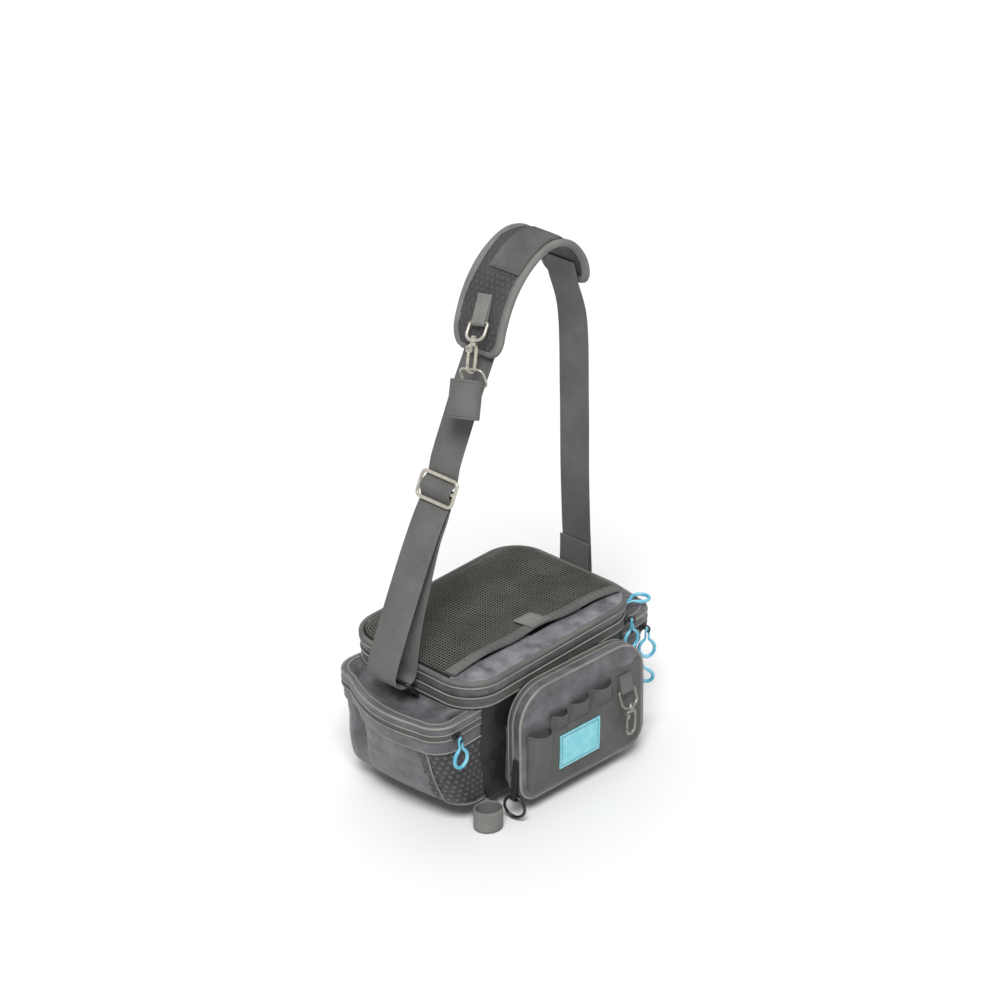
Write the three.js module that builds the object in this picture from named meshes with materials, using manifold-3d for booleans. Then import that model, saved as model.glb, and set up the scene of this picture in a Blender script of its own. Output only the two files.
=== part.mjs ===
import * as THREE from "three";
import { mergeVertices } from "three/addons/utils/BufferGeometryUtils.js";
import Module from "manifold-3d";

// A soft shoulder bag for fishing lures, in millimetres, +Z up, its front towards -Y.
// The bag is worked out with its base at z = 0; the last lines move it so that the origin
// is where the strap rests on the shoulder.

const wasm = await Module();
wasm.setup();

const GAP = 0.3;
const TURN = Math.PI * 2;
const UP = new THREE.Vector3(0, 0, 1);
const DOWN = new THREE.Vector3(0, 0, -1);
const ACROSS = new THREE.Vector3(0, 1, 0);
const vec = (x, y, z) => new THREE.Vector3(x, y, z);
const mix = (a, b, t) => a + (b - a) * t;
const clamp01 = (t) => Math.min(Math.max(t, 0), 1);

// Sizes of the main compartment, the lid and the walls
const BODY = { halfX: 140, halfY: 95, corner: 38, height: 136, wall: 4 };
const BODY_ROWS = [
  { z: 0, grow: -7, bulge: 0 },
  { z: 4, grow: -2, bulge: 1 },
  { z: 14, grow: 0, bulge: 2 },
  { z: 60, grow: 2, bulge: 4 },
  { z: 105, grow: 3, bulge: 3 },
  { z: 136, grow: 4, bulge: 1 },
];
const LID_ZIP_ROWS = [
  { z: 136.3, grow: 4.5 },
  { z: 138, grow: 6.5 },
  { z: 146.4, grow: 6.5 },
  { z: 148, grow: 4.5 },
];
const LID_ZIP = { thickness: 4, hingeFromY: 62, middleZ: 142.2, face: 6.5 };
const LID_OUTSIDE = [
  { z: 148.3, grow: 4 },
  { z: 157, grow: 7 },
  { z: 166, grow: 7 },
  { z: 169.5, grow: 3 },
  { z: 171.5, grow: -7 },
  { z: 174, grow: -40 },
];
const LID_INSIDE = [
  { z: 148.3, grow: 1 },
  { z: 163, grow: 1 },
  { z: 166.2, grow: -3.5 },
  { z: 168, grow: -10 },
  { z: 170.5, grow: -40 },
];
const MESH = {
  halfX: 136, halfY: 91, corner: 36, frontLeft: -60, frontRight: -83,
  thickness: 1.2, lift: 1.2, mouth: 6, mouthDepth: 50, wave: 0.2, waveLength: 22,
};
const BINDING = { depth: 12, thickness: 1.4, lip: 2, lift: 0.7 };
const MESH_TAB = { halfX: 14, forward: 1, depth: 30, thickness: 1.6 };

// Sizes of the end pockets, both written as if on the left; the right one is emptier and sags in below its rim
const END_POCKET = { front: -92, back: 96, corner: 30, wall: 3, insideX: -118 };
const LEFT_END = {
  rim: { backOut: 174, frontOut: 195, bulge: 15, crease: 0 },
  rows: [
    { z: 6, backOut: 155, frontOut: 150, bulge: 2, crease: 0 },
    { z: 13, backOut: 160, frontOut: 158, bulge: 5, crease: 3 },
    { z: 52, backOut: 165, frontOut: 177, bulge: 12, crease: 9 },
    { z: 94, backOut: 168, frontOut: 190, bulge: 15, crease: 6 },
    { z: 98, backOut: 172, frontOut: 194, bulge: 15, crease: 2 },
    { z: 114, backOut: 174, frontOut: 195, bulge: 15, crease: 0 },
  ],
};
const RIGHT_END = {
  rim: { backOut: 174, frontOut: 188, bulge: 14, crease: 0 },
  rows: [
    { z: 6, backOut: 155, frontOut: 148, bulge: 2, crease: 0 },
    { z: 13, backOut: 160, frontOut: 154, bulge: 5, crease: 3 },
    { z: 52, backOut: 164, frontOut: 166, bulge: 10, crease: 7 },
    { z: 94, backOut: 167, frontOut: 175, bulge: 12, crease: 5 },
    { z: 102, backOut: 170, frontOut: 179, bulge: 13, crease: 2 },
    { z: 114, backOut: 174, frontOut: 188, bulge: 14, crease: 0 },
  ],
};
const END_ZIP = { from: 114.3, to: 121, thickness: 3, face: 0.8 };
const END_LID = { from: 121.3, edge: 129.5, top: 132.3, round: 4, slope: 0.02 };
const CREASE = { y: 52, width: 11 };

// Sizes of the front pocket, in its own frame: x along the panel, -y outwards
const FRONT = { centreX: 9, panelY: -131, yaw: -3.5, tilt: -1.2, halfX: 101, bottom: 2, top: 145 };
const FRONT_CORNER = { top: 44, bottom: 24 };
const PANEL_ROWS = [
  { inset: 0, y: 13 },
  { inset: 0, y: 2 },
  { inset: 2, y: 0 },
  { inset: 14, y: -1.5 },
  { inset: 40, y: -3.4 },
  { inset: 62, y: -4 },
];
const PANEL_WALL = 3;
const FRONT_ZIP = { from: 13.3, to: 19.3, thickness: 3, face: 0.8, hingeBelow: 36 };
const GUSSET = { from: 19.6, to: 54, thickness: 3, backInset: 8 };

// The sleeves sewn on the front panel; floor and mouth are the z where each one starts and opens
const TOOL_PANEL = { halfX: 93, top: 125, bottomInset: 8, thickness: 1.8, rows: [38, 82], lift: 0.7 };
const TOOL_SLOTS = [
  { left: -90, right: -59, floor: 20, mouth: 90, depth: 13 },
  { left: -56, right: -32, floor: 83, mouth: 104, depth: 9 },
  { left: -28, right: 4, floor: 85, mouth: 109, depth: 9 },
  { left: 8, right: 41, floor: 86, mouth: 112, depth: 10 },
];
const LABEL = { left: -45, right: 20, bottom: 28, top: 73, thickness: 1.4 };

// Sizes of the strap, its pad and its hardware
const STRAP = { width: 45, thickness: 1.8 };
const PAD = { width: 66, thickness: 10, seat: 0.6 };
const PAD_PATH = [
  [-28, 521], [-20, 555], [-2, 590], [26, 616], [60, 628], [90, 620], [112, 596], [123, 562],
];
const PAD_BINDING = { width: 4.5, thickness: 5 };
const PAD_PATCH = { from: 0.355, to: 0.65, near: -30.5, far: 12, thickness: 1.4 };
const PAD_TAB = { barAt: 0.135, endAt: 0.245, y: -6, skew: 5, width: 19, lift: 0.5, hole: 2.6 };
const LEFT_LEG = { topX: -24, topZ: 518, footX: -187, footZ: 178, turnRadius: 17.5 };
const LEFT_RETURN = [[-146, 215], [-131, 265], [-113, 317]];
const ADJUSTER = { height: 371, halfLength: 15, halfWidth: 26.7, wire: 2.2, corner: 6 };
const RIGHT_LEG = [[132, 515, 0], [142, 400, 3], [148, 300, 6], [154, 225, 8], [158, 182, 9]];
const RIGHT_TAIL = [[152, 170, 9], [152.4, 186, 9], [152.2, 202, 9]];
const STRAP_RING = { halfWidth: 26.3, wire: 2.3, corner: 5, tabWidth: 41, tabEnd: 148.5 };
const LEFT_RING = { tab: [-155, 137.8], strap: [-171, 157.5], y: 0 };
const RIGHT_RING = { tab: [155, 137.8], strap: [155.5, 162], y: 9 };

// Sizes of the two snap hooks, measured down from the bar of the eye
const EYE = { halfWidth: 12.5, drop: 20, corner: 9, barCorner: 2.6, wire: 1.75, lean: 21 };
const COLLAR = { radius: 3.8, bore: 2.2, top: -17.2, bottom: -22.2 };
const STEM = { radius: 1.8, head: 3.2, headTop: -15.3, headBottom: -16.9 };
const HOOK = { halfWidth: 6.5, wire: 1.9, top: -25.3, shoulder: -29.1, bend: -49.7, nose: -48.7 };
const GATE = { pivot: -31.7, knuckle: 2.1, halfLength: 2, bore: 1.1, bar: 1.6, end: -48.4 };
const CHEEK = { radius: 2.5, thickness: 1, pin: 0.8 };

const CLOTH = "#6d6a6c";
const WEBBING = "#6b6b69";
const DARK = "#2b2b2b";
const METAL = "#cfcabd";
const BLUE = "#58bcdc";

// Closed geometry from points and triangles, turned to face outwards
function closed(points, faces) {
  const cross = new THREE.Vector3();
  let volume = 0;
  for (const [a, b, c] of faces) {
    volume += points[a].dot(cross.crossVectors(points[b], points[c]));
  }
  const geometry = new THREE.BufferGeometry().setFromPoints(points);
  geometry.setIndex(faces.flatMap(([a, b, c]) => (volume < 0 ? [a, c, b] : [a, b, c])));
  return geometry;
}

// Triangles that fill a ring; forward keeps the turning sense of the ring
function fill(ring, start, forward) {
  const normal = vec(0, 0, 0);
  const cross = new THREE.Vector3();
  ring.forEach((point, i) => normal.add(cross.crossVectors(point, ring[(i + 1) % ring.length])));
  const size = [Math.abs(normal.x), Math.abs(normal.y), Math.abs(normal.z)];
  const drop = size.indexOf(Math.max(...size));
  const flat = ring.map((point) => {
    const kept = point.toArray().filter((_, axis) => axis !== drop);
    return new THREE.Vector2(kept[0], kept[1]);
  });
  return THREE.ShapeUtils.triangulateShape(flat, []).map(([a, b, c]) => {
    const side = ring[b].clone().sub(ring[a]).cross(ring[c].clone().sub(ring[a])).dot(normal);
    const same = side > 0;
    return same === forward ? [start + a, start + b, start + c] : [start + a, start + c, start + b];
  });
}

// A skin through rings of equal length; a cycle joins the last ring to the first instead of filling both
function loft(rings, cycle = false) {
  const count = rings[0].length;
  const faces = [];
  const spans = cycle ? rings.length : rings.length - 1;
  for (let row = 0; row < spans; row += 1) {
    const low = row * count;
    const high = ((row + 1) % rings.length) * count;
    for (let i = 0; i < count; i += 1) {
      const j = (i + 1) % count;
      faces.push([low + i, low + j, high + j], [low + i, high + j, high + i]);
    }
  }
  if (!cycle) {
    const last = (rings.length - 1) * count;
    faces.push(...fill(rings[0], 0, false), ...fill(rings[rings.length - 1], last, true));
  }
  return closed(rings.flat(), faces);
}

// A thin sheet between two grids; pointAt gives the outer and the inner point for u and v from 0 to 1
function slab(columns, rows, pointAt) {
  const points = [];
  const faces = [];
  const across = columns + 1;
  const half = across * (rows + 1);
  for (let row = 0; row <= rows; row += 1) {
    for (let column = 0; column <= columns; column += 1) {
      const [outer, inner] = pointAt(column / columns, row / rows);
      const place = row * across + column;
      points[place] = outer;
      points[place + half] = inner;
    }
  }
  for (let row = 0; row < rows; row += 1) {
    for (let column = 0; column < columns; column += 1) {
      const a = row * across + column;
      const b = a + 1;
      const c = b + across;
      const d = a + across;
      faces.push([a, b, c], [a, c, d], [a + half, c + half, b + half], [a + half, d + half, c + half]);
    }
  }
  const edge = [];
  for (let column = 0; column < columns; column += 1) edge.push(column);
  for (let row = 0; row < rows; row += 1) edge.push(row * across + columns);
  for (let column = columns; column > 0; column -= 1) edge.push(rows * across + column);
  for (let row = rows; row > 0; row -= 1) edge.push(row * across);
  edge.forEach((a, i) => {
    const b = edge[(i + 1) % edge.length];
    faces.push([a, a + half, b + half], [a, b + half, b]);
  });
  return closed(points, faces);
}

// A flat strap along a path, its width along the across direction at each point
function ribbon(path, width, thickness, acrossAt = () => ACROSS) {
  return loft(path.map((point, i) => {
    const after = path[Math.min(i + 1, path.length - 1)];
    const along = after.clone().sub(path[Math.max(i - 1, 0)]).normalize();
    const across = acrossAt(i).clone();
    across.addScaledVector(along, -across.dot(along)).normalize().multiplyScalar(width / 2);
    const out = along.cross(across).normalize().multiplyScalar(thickness / 2);
    return [[1, 1], [-1, 1], [-1, -1], [1, -1]].map(([w, t]) => {
      return point.clone().addScaledVector(across, w).addScaledVector(out, t);
    });
  }));
}

// A round wire along a path that lies in one plane
function wire(path, planeNormal, radiusAt, sides = 6, loop = true) {
  const count = path.length;
  const rings = path.map((point, i) => {
    const before = loop ? path[(i + count - 1) % count] : path[Math.max(i - 1, 0)];
    const after = loop ? path[(i + 1) % count] : path[Math.min(i + 1, count - 1)];
    const side = after.clone().sub(before).normalize().cross(planeNormal);
    const radius = radiusAt(i / count);
    return Array.from({ length: sides }, (_, k) => {
      const angle = (TURN * (k + 0.5)) / sides;
      return point.clone()
        .addScaledVector(side, radius * Math.cos(angle))
        .addScaledVector(planeNormal, radius * Math.sin(angle));
    });
  });
  return loft(rings, loop);
}

// A rounded rectangle path in the plane of two unit vectors
function roundedLoop(centre, right, upwards, halfRight, halfUp, lowRadius, highRadius = lowRadius) {
  const steps = 3;
  const path = [];
  [[1, -1, -90], [1, 1, 0], [-1, 1, 90], [-1, -1, 180]].forEach(([sideX, sideY, start]) => {
    const radius = sideY < 0 ? lowRadius : highRadius;
    for (let k = 0; k <= steps; k += 1) {
      const angle = THREE.MathUtils.degToRad(start + (90 * k) / steps);
      path.push(centre.clone()
        .addScaledVector(right, sideX * (halfRight - radius) + radius * Math.cos(angle))
        .addScaledVector(upwards, sideY * (halfUp - radius) + radius * Math.sin(angle)));
    }
  });
  return path;
}

function cylinder(from, to, radius, sides = 10) {
  const along = to.clone().sub(from);
  const geometry = new THREE.CylinderGeometry(radius, radius, along.length(), sides);
  geometry.applyQuaternion(new THREE.Quaternion().setFromUnitVectors(ACROSS, along.clone().normalize()));
  return geometry.translate(...from.clone().add(to).multiplyScalar(0.5).toArray());
}

function box(x0, x1, y0, y1, z0, z1) {
  return new THREE.BoxGeometry(x1 - x0, y1 - y0, z1 - z0)
    .translate((x0 + x1) / 2, (y0 + y1) / 2, (z0 + z1) / 2);
}

// Joins and cuts
function solid(geometry) {
  const bare = new THREE.BufferGeometry();
  bare.setAttribute("position", geometry.getAttribute("position").clone());
  if (geometry.index) bare.setIndex(geometry.index.clone());
  const merged = mergeVertices(bare, 1e-4);
  return new wasm.Manifold(new wasm.Mesh({
    numProp: 3,
    vertProperties: new Float32Array(merged.getAttribute("position").array),
    triVerts: new Uint32Array(merged.index.array),
  }));
}

function geometryOf(manifold) {
  const mesh = manifold.getMesh();
  const geometry = new THREE.BufferGeometry();
  geometry.setAttribute("position", new THREE.BufferAttribute(new Float32Array(mesh.vertProperties), 3));
  geometry.setIndex(new THREE.BufferAttribute(new Uint32Array(mesh.triVerts), 1));
  return geometry;
}

const cut = (base, ...tools) => geometryOf(
  tools.reduce((left, tool) => left.subtract(solid(tool)), solid(base)),
);
const keep = (base, tool) => geometryOf(solid(base).intersect(solid(tool)));
const join = (base, ...others) => geometryOf(
  others.reduce((sum, other) => sum.add(solid(other)), solid(base)),
);

// Rings of the main compartment
const CORNER_STEPS = 4;
function softRect({ halfX, halfY, radius, bulge = 0, z }) {
  const cornerSteps = CORNER_STEPS;
  const sideSteps = 3;
  const round = Math.max(Math.min(radius, halfX - 1, halfY - 1), 5);
  const arcs = [[1, -1, -90], [1, 1, 0], [-1, 1, 90], [-1, -1, 180]].map(([sideX, sideY, start]) => {
    return Array.from({ length: cornerSteps + 1 }, (_, k) => {
      const angle = THREE.MathUtils.degToRad(start + (90 * k) / cornerSteps);
      return vec(
        sideX * (halfX - round) + round * Math.cos(angle),
        sideY * (halfY - round) + round * Math.sin(angle),
        z,
      );
    });
  });
  const outwards = [vec(1, 0, 0), vec(0, 1, 0), vec(-1, 0, 0), vec(0, -1, 0)];
  return arcs.flatMap((arc, side) => {
    const next = arcs[(side + 1) % 4][0];
    const bow = Array.from({ length: sideSteps - 1 }, (_, k) => {
      const t = (k + 1) / sideSteps;
      const rise = bulge * (1 - (2 * t - 1) ** 2);
      return arc[cornerSteps].clone().lerp(next, t).addScaledVector(outwards[side], rise);
    });
    return [...arc, ...bow];
  });
}

const bodyRing = ({ z, grow, bulge }, more = 0) => softRect({
  halfX: BODY.halfX + grow + more,
  halfY: BODY.halfY + grow + more,
  radius: BODY.corner + grow + more,
  bulge,
  z,
});

const bodyShape = loft([
  ...BODY_ROWS.map((row) => bodyRing(row)),
  ...BODY_ROWS.filter((row) => row.z >= BODY.wall).reverse().map((row) => bodyRing(row, -BODY.wall)),
]);
const bodySpace = loft([
  bodyRing({ ...BODY_ROWS[0], z: -GAP }, GAP),
  ...BODY_ROWS.slice(1).map((row) => bodyRing(row, GAP)),
]);

const lidZipRing = loft([
  ...LID_ZIP_ROWS.map((row) => bodyRing(row)),
  bodyRing(LID_ZIP_ROWS[LID_ZIP_ROWS.length - 1], -LID_ZIP.thickness),
  bodyRing(LID_ZIP_ROWS[0], -LID_ZIP.thickness),
], true);
const zipSpace = loft(LID_ZIP_ROWS.map((row) => bodyRing({ ...row, z: row.z - GAP }, GAP)));
const zipSide = box(-300, 300, -300, LID_ZIP.hingeFromY, 100, 200);
const hingeSide = box(-300, 300, LID_ZIP.hingeFromY + GAP, 300, 100, 200);

const lidShape = loft([
  ...LID_INSIDE.slice().reverse().map((row) => bodyRing(row)),
  ...LID_OUTSIDE.map((row) => bodyRing(row)),
]);

// The roof of the lid at a point, found from how far the point lies inside the lid's edge
function lidRoof(x, y) {
  const dx = Math.abs(x) - (BODY.halfX - BODY.corner);
  const dy = Math.abs(y) - (BODY.halfY - BODY.corner);
  const outside = Math.hypot(Math.max(dx, 0), Math.max(dy, 0)) + Math.min(Math.max(dx, dy), 0);
  const grow = outside - BODY.corner;
  const roof = LID_OUTSIDE.slice(2);
  const next = roof.findIndex((row) => row.grow <= grow);
  if (next < 0) return roof[roof.length - 1].z;
  if (next === 0) return roof[0].z;
  const t = (roof[next - 1].grow - grow) / (roof[next - 1].grow - roof[next].grow);
  return mix(roof[next - 1].z, roof[next].z, t);
}

// The mesh panel over the lid: sewn at the back and the ends, open along its front edge
const meshFront = (x) => mix(MESH.frontLeft, MESH.frontRight, (x / MESH.halfX + 1) / 2);
function meshPoint(x, y, above) {
  const open = clamp01((meshFront(x) + MESH.mouthDepth - y) / MESH.mouthDepth) ** 2;
  const middle = 1 - (x / MESH.halfX) ** 2;
  const wave = 1 - MESH.wave + MESH.wave * Math.cos(x / MESH.waveLength);
  return vec(x, y, lidRoof(x, y) + MESH.lift + MESH.mouth * open * middle * wave + above);
}

function meshHalfX(y) {
  const inCorner = Math.max(Math.abs(y) - (MESH.halfY - MESH.corner), 0);
  return MESH.halfX - MESH.corner + Math.sqrt(Math.max(MESH.corner ** 2 - inCorner ** 2, 0));
}

const meshShape = slab(10, 6, (u, v) => {
  const y = mix(mix(MESH.frontLeft, MESH.frontRight, u), MESH.halfY - 2, v);
  const x = mix(-1, 1, u) * meshHalfX(y);
  return [meshPoint(x, y, MESH.thickness), meshPoint(x, y, 0)];
});
const bindingShape = slab(10, 2, (u, v) => {
  const y = mix(MESH.frontLeft, MESH.frontRight, u) + mix(-BINDING.lip, BINDING.depth, v);
  const x = mix(-1, 1, u) * meshHalfX(y);
  const above = MESH.thickness + BINDING.lift;
  return [meshPoint(x, y, above + BINDING.thickness), meshPoint(x, y, above)];
});
const meshTabShape = slab(2, 3, (u, v) => {
  const x = mix(-1, 1, u) * MESH_TAB.halfX;
  const y = meshFront(x) + mix(-MESH_TAB.forward, MESH_TAB.depth - MESH_TAB.forward, v);
  const above = MESH.thickness + BINDING.lift + BINDING.thickness + GAP;
  return [meshPoint(x, y, above + MESH_TAB.thickness), meshPoint(x, y, above)];
});

// Rings of an end pocket, from the back of the bag round the outer side to the front
function endRing({ backOut, frontOut, bulge, crease }, grow, zAt) {
  const { front, back, corner, insideX } = END_POCKET;
  const round = corner + grow;
  const backX = -(backOut - corner);
  const frontX = -(frontOut - corner);
  const sideSteps = 7;
  const cornerSteps = 3;
  const plan = [[insideX, back + grow]];
  for (let k = 0; k <= cornerSteps; k += 1) {
    const angle = THREE.MathUtils.degToRad(90 + (90 * k) / cornerSteps);
    plan.push([backX + round * Math.cos(angle), back - corner + round * Math.sin(angle)]);
  }
  for (let k = 1; k < sideSteps; k += 1) {
    const t = k / sideSteps;
    const y = mix(back - corner, front + corner, t);
    const pinch = crease * Math.exp(-(((y - CREASE.y) / CREASE.width) ** 2));
    plan.push([mix(backX, frontX, t) - round - bulge * Math.sin(Math.PI * t) + pinch, y]);
  }
  for (let k = 0; k <= cornerSteps; k += 1) {
    const angle = THREE.MathUtils.degToRad(180 + (90 * k) / cornerSteps);
    plan.push([frontX + round * Math.cos(angle), front + corner + round * Math.sin(angle)]);
  }
  plan.push([insideX, front - grow]);
  return plan.map(([x, y]) => vec(x, y, zAt(x)));
}

const level = (z) => () => z;
const roofSlope = (z) => (x) => z + (x + LEFT_END.rim.frontOut) * END_LID.slope;

// The outside and the inside of a pocket's body, zip and lid
function endPocket({ rim, rows }) {
  const { wall } = END_POCKET;
  const body = [
    loft(rows.map((row) => endRing(row, 0, level(row.z)))),
    loft([
      endRing(rows[0], -wall, level(rows[0].z + wall)),
      ...rows.slice(1).map((row) => endRing(row, -wall, level(row.z))),
      endRing(rim, -wall, level(END_LID.from)),
    ]),
  ];
  const zip = [
    loft([
      endRing(rim, 0, level(END_ZIP.from)),
      endRing(rim, END_ZIP.face, level(END_ZIP.from + 2)),
      endRing(rim, END_ZIP.face, level(END_ZIP.to - 2)),
      endRing(rim, 0, level(END_ZIP.to)),
    ]),
    loft([
      endRing(rim, -END_ZIP.thickness, level(END_ZIP.from - 1)),
      endRing(rim, -END_ZIP.thickness, level(END_ZIP.to + 1)),
    ]),
  ];
  const lid = [
    loft([
      endRing(rim, 0.5, level(END_LID.from)),
      endRing(rim, 1, level(END_LID.edge)),
      endRing(rim, -END_LID.round, roofSlope(END_LID.top)),
    ]),
    loft([
      endRing(rim, -wall, level(END_LID.from - 1)),
      endRing(rim, -wall, level(END_LID.edge - 2)),
      endRing(rim, -wall - END_LID.round, roofSlope(END_LID.top - wall)),
    ]),
  ];
  return { body, zip, lid };
}

// The right pocket is mirrored to its side; each is cut back to the wall of the main compartment
function mirrored(geometry) {
  const flipped = geometry.clone().scale(-1, 1, 1);
  const index = flipped.index.array;
  for (let i = 0; i < index.length; i += 3) [index[i], index[i + 1]] = [index[i + 1], index[i]];
  return flipped;
}
const asIs = (geometry) => geometry;
const endShell = ([outside, inside], turned) => cut(turned(outside), turned(inside), bodySpace);

// The front pocket is worked out in its own frame and then turned and moved to the bag
const frontFrame = new THREE.Matrix4()
  .makeTranslation(FRONT.centreX, FRONT.panelY, FRONT.top)
  .multiply(new THREE.Matrix4().makeRotationZ(THREE.MathUtils.degToRad(FRONT.yaw)))
  .multiply(new THREE.Matrix4().makeRotationX(THREE.MathUtils.degToRad(FRONT.tilt)))
  .multiply(new THREE.Matrix4().makeTranslation(0, 0, -FRONT.top));
const onFront = (geometry) => geometry.applyMatrix4(frontFrame);

function archRing(inset, y) {
  const steps = 4;
  const halfX = FRONT.halfX - inset;
  const bottom = FRONT.bottom + inset;
  const top = FRONT.top - inset;
  const low = Math.max(FRONT_CORNER.bottom - inset, 4);
  const high = Math.max(FRONT_CORNER.top - inset, 4);
  const corners = [
    [halfX - low, bottom + low, low, -90],
    [halfX - high, top - high, high, 0],
    [high - halfX, top - high, high, 90],
    [low - halfX, bottom + low, low, 180],
  ];
  const ring = [];
  corners.forEach(([x, z, round, start]) => {
    for (let k = 0; k <= steps; k += 1) {
      const angle = THREE.MathUtils.degToRad(start + (90 * k) / steps);
      ring.push(vec(x + round * Math.cos(angle), y, z + round * Math.sin(angle)));
    }
  });
  return ring;
}

// The outer face of the front panel, found from how far a point lies inside its outline
function panelFace(x, z) {
  const inset = Math.min(FRONT.halfX - Math.abs(x), z - FRONT.bottom, FRONT.top - z);
  const face = PANEL_ROWS.slice(2);
  const next = face.findIndex((row) => row.inset >= inset);
  if (next < 0) return face[face.length - 1].y;
  if (next === 0) return face[0].y;
  const t = (inset - face[next - 1].inset) / (face[next].inset - face[next - 1].inset);
  return mix(face[next - 1].y, face[next].y, t);
}

const panelShape = loft([
  ...PANEL_ROWS.slice(2).reverse().map((row) => archRing(row.inset + PANEL_WALL, row.y + PANEL_WALL)),
  archRing(PANEL_WALL, PANEL_ROWS[0].y),
  ...PANEL_ROWS.map((row) => archRing(row.inset, row.y)),
]);
const frontZipRing = loft([
  archRing(0, FRONT_ZIP.from),
  archRing(-FRONT_ZIP.face, FRONT_ZIP.from + 1.5),
  archRing(-FRONT_ZIP.face, FRONT_ZIP.to - 1.5),
  archRing(0, FRONT_ZIP.to),
  archRing(FRONT_ZIP.thickness, FRONT_ZIP.to),
  archRing(FRONT_ZIP.thickness, FRONT_ZIP.from),
], true);
const aboveHinge = box(-200, 200, -50, 100, FRONT_ZIP.hingeBelow + GAP, 200);
const belowHinge = box(-200, 200, -50, 100, -50, FRONT_ZIP.hingeBelow);
const gussetRing = loft([
  archRing(0, GUSSET.from),
  archRing(GUSSET.backInset, GUSSET.to),
  archRing(GUSSET.backInset + GUSSET.thickness, GUSSET.to),
  archRing(GUSSET.thickness, GUSSET.from),
], true);

// The sleeves: one sheet that bows away from the panel at each slot and dips at its mouth
function slotAt(x) {
  const slot = TOOL_SLOTS.find((one) => x > one.left && x < one.right);
  if (!slot) return null;
  const bow = Math.sin((Math.PI * (x - slot.left)) / (slot.right - slot.left));
  return { ...slot, bow };
}

function sleevePoint(x, z, out) {
  const slot = slotAt(x);
  const open = slot ? clamp01((z - slot.floor) / (slot.mouth - slot.floor)) : 0;
  const lift = slot ? slot.depth * Math.sqrt(slot.bow) * Math.sin((open * Math.PI) / 2) : 0;
  return vec(x, panelFace(x, z) - TOOL_PANEL.lift - lift - out, z);
}

const toolPanelShape = slab(38, 4, (u, v) => {
  const x = mix(-1, 1, u) * TOOL_PANEL.halfX;
  const low = FRONT_CORNER.bottom - TOOL_PANEL.bottomInset;
  const past = Math.max(Math.abs(x) - (FRONT.halfX - FRONT_CORNER.bottom), 0);
  const bottom = FRONT.bottom + FRONT_CORNER.bottom - Math.sqrt(Math.max(low ** 2 - past ** 2, 0));
  const slot = slotAt(x);
  const top = slot ? mix(TOOL_PANEL.top, slot.mouth, slot.bow ** 0.6) : TOOL_PANEL.top;
  const [first, second] = TOOL_PANEL.rows;
  const z = [bottom, first, second, mix(second, top, 0.5), top][Math.round(v * 4)];
  return [sleevePoint(x, z, TOOL_PANEL.thickness), sleevePoint(x, z, 0)];
});
const labelShape = slab(4, 2, (u, v) => {
  const x = mix(LABEL.left, LABEL.right, u);
  const z = mix(LABEL.bottom, LABEL.top, v);
  const out = TOOL_PANEL.thickness + GAP;
  return [sleevePoint(x, z, out + LABEL.thickness), sleevePoint(x, z, out)];
});

// A strip of webbing folded round a bar and sewn down; end is where the strip finishes
const TAB = { wall: 1.6, strip: 3, sides: 8 };
function foldTab(bar, end, hole, width, axis) {
  const from = bar.clone().addScaledVector(axis, -width / 2);
  const to = bar.clone().addScaledVector(axis, width / 2);
  const core = cylinder(
    from.clone().addScaledVector(axis, -2),
    to.clone().addScaledVector(axis, 2),
    hole,
    TAB.sides,
  );
  const fold = cylinder(from, to, hole + TAB.wall, TAB.sides);
  return cut(join(fold, ribbon([bar, end], width, TAB.strip, () => axis)), core);
}

// A snap hook in its own frame: x across the eye, y away from what carries it, z up the swivel axis
const leanOut = EYE.drop * Math.sin(THREE.MathUtils.degToRad(EYE.lean));
const axisAt = (z) => vec(0, leanOut, z);
const hookX = vec(1, 0, 0);
const hookY = vec(0, 1, 0);

function eyeShape() {
  const drop = EYE.drop;
  const right = hookX;
  const lean = vec(0, -leanOut, drop).normalize();
  const centre = vec(0, leanOut / 2, -drop / 2);
  const halfUp = Math.hypot(drop, leanOut) / 2;
  const loop = roundedLoop(centre, right, lean, EYE.halfWidth, halfUp, EYE.corner, EYE.barCorner);
  const normal = right.clone().cross(lean).normalize();
  const collar = cylinder(axisAt(COLLAR.top), axisAt(COLLAR.bottom), COLLAR.radius, 8);
  const bore = cylinder(axisAt(COLLAR.top + 4), axisAt(COLLAR.bottom - 4), COLLAR.bore, 8);
  return cut(join(wire(loop, normal, () => EYE.wire), collar), bore);
}

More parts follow.
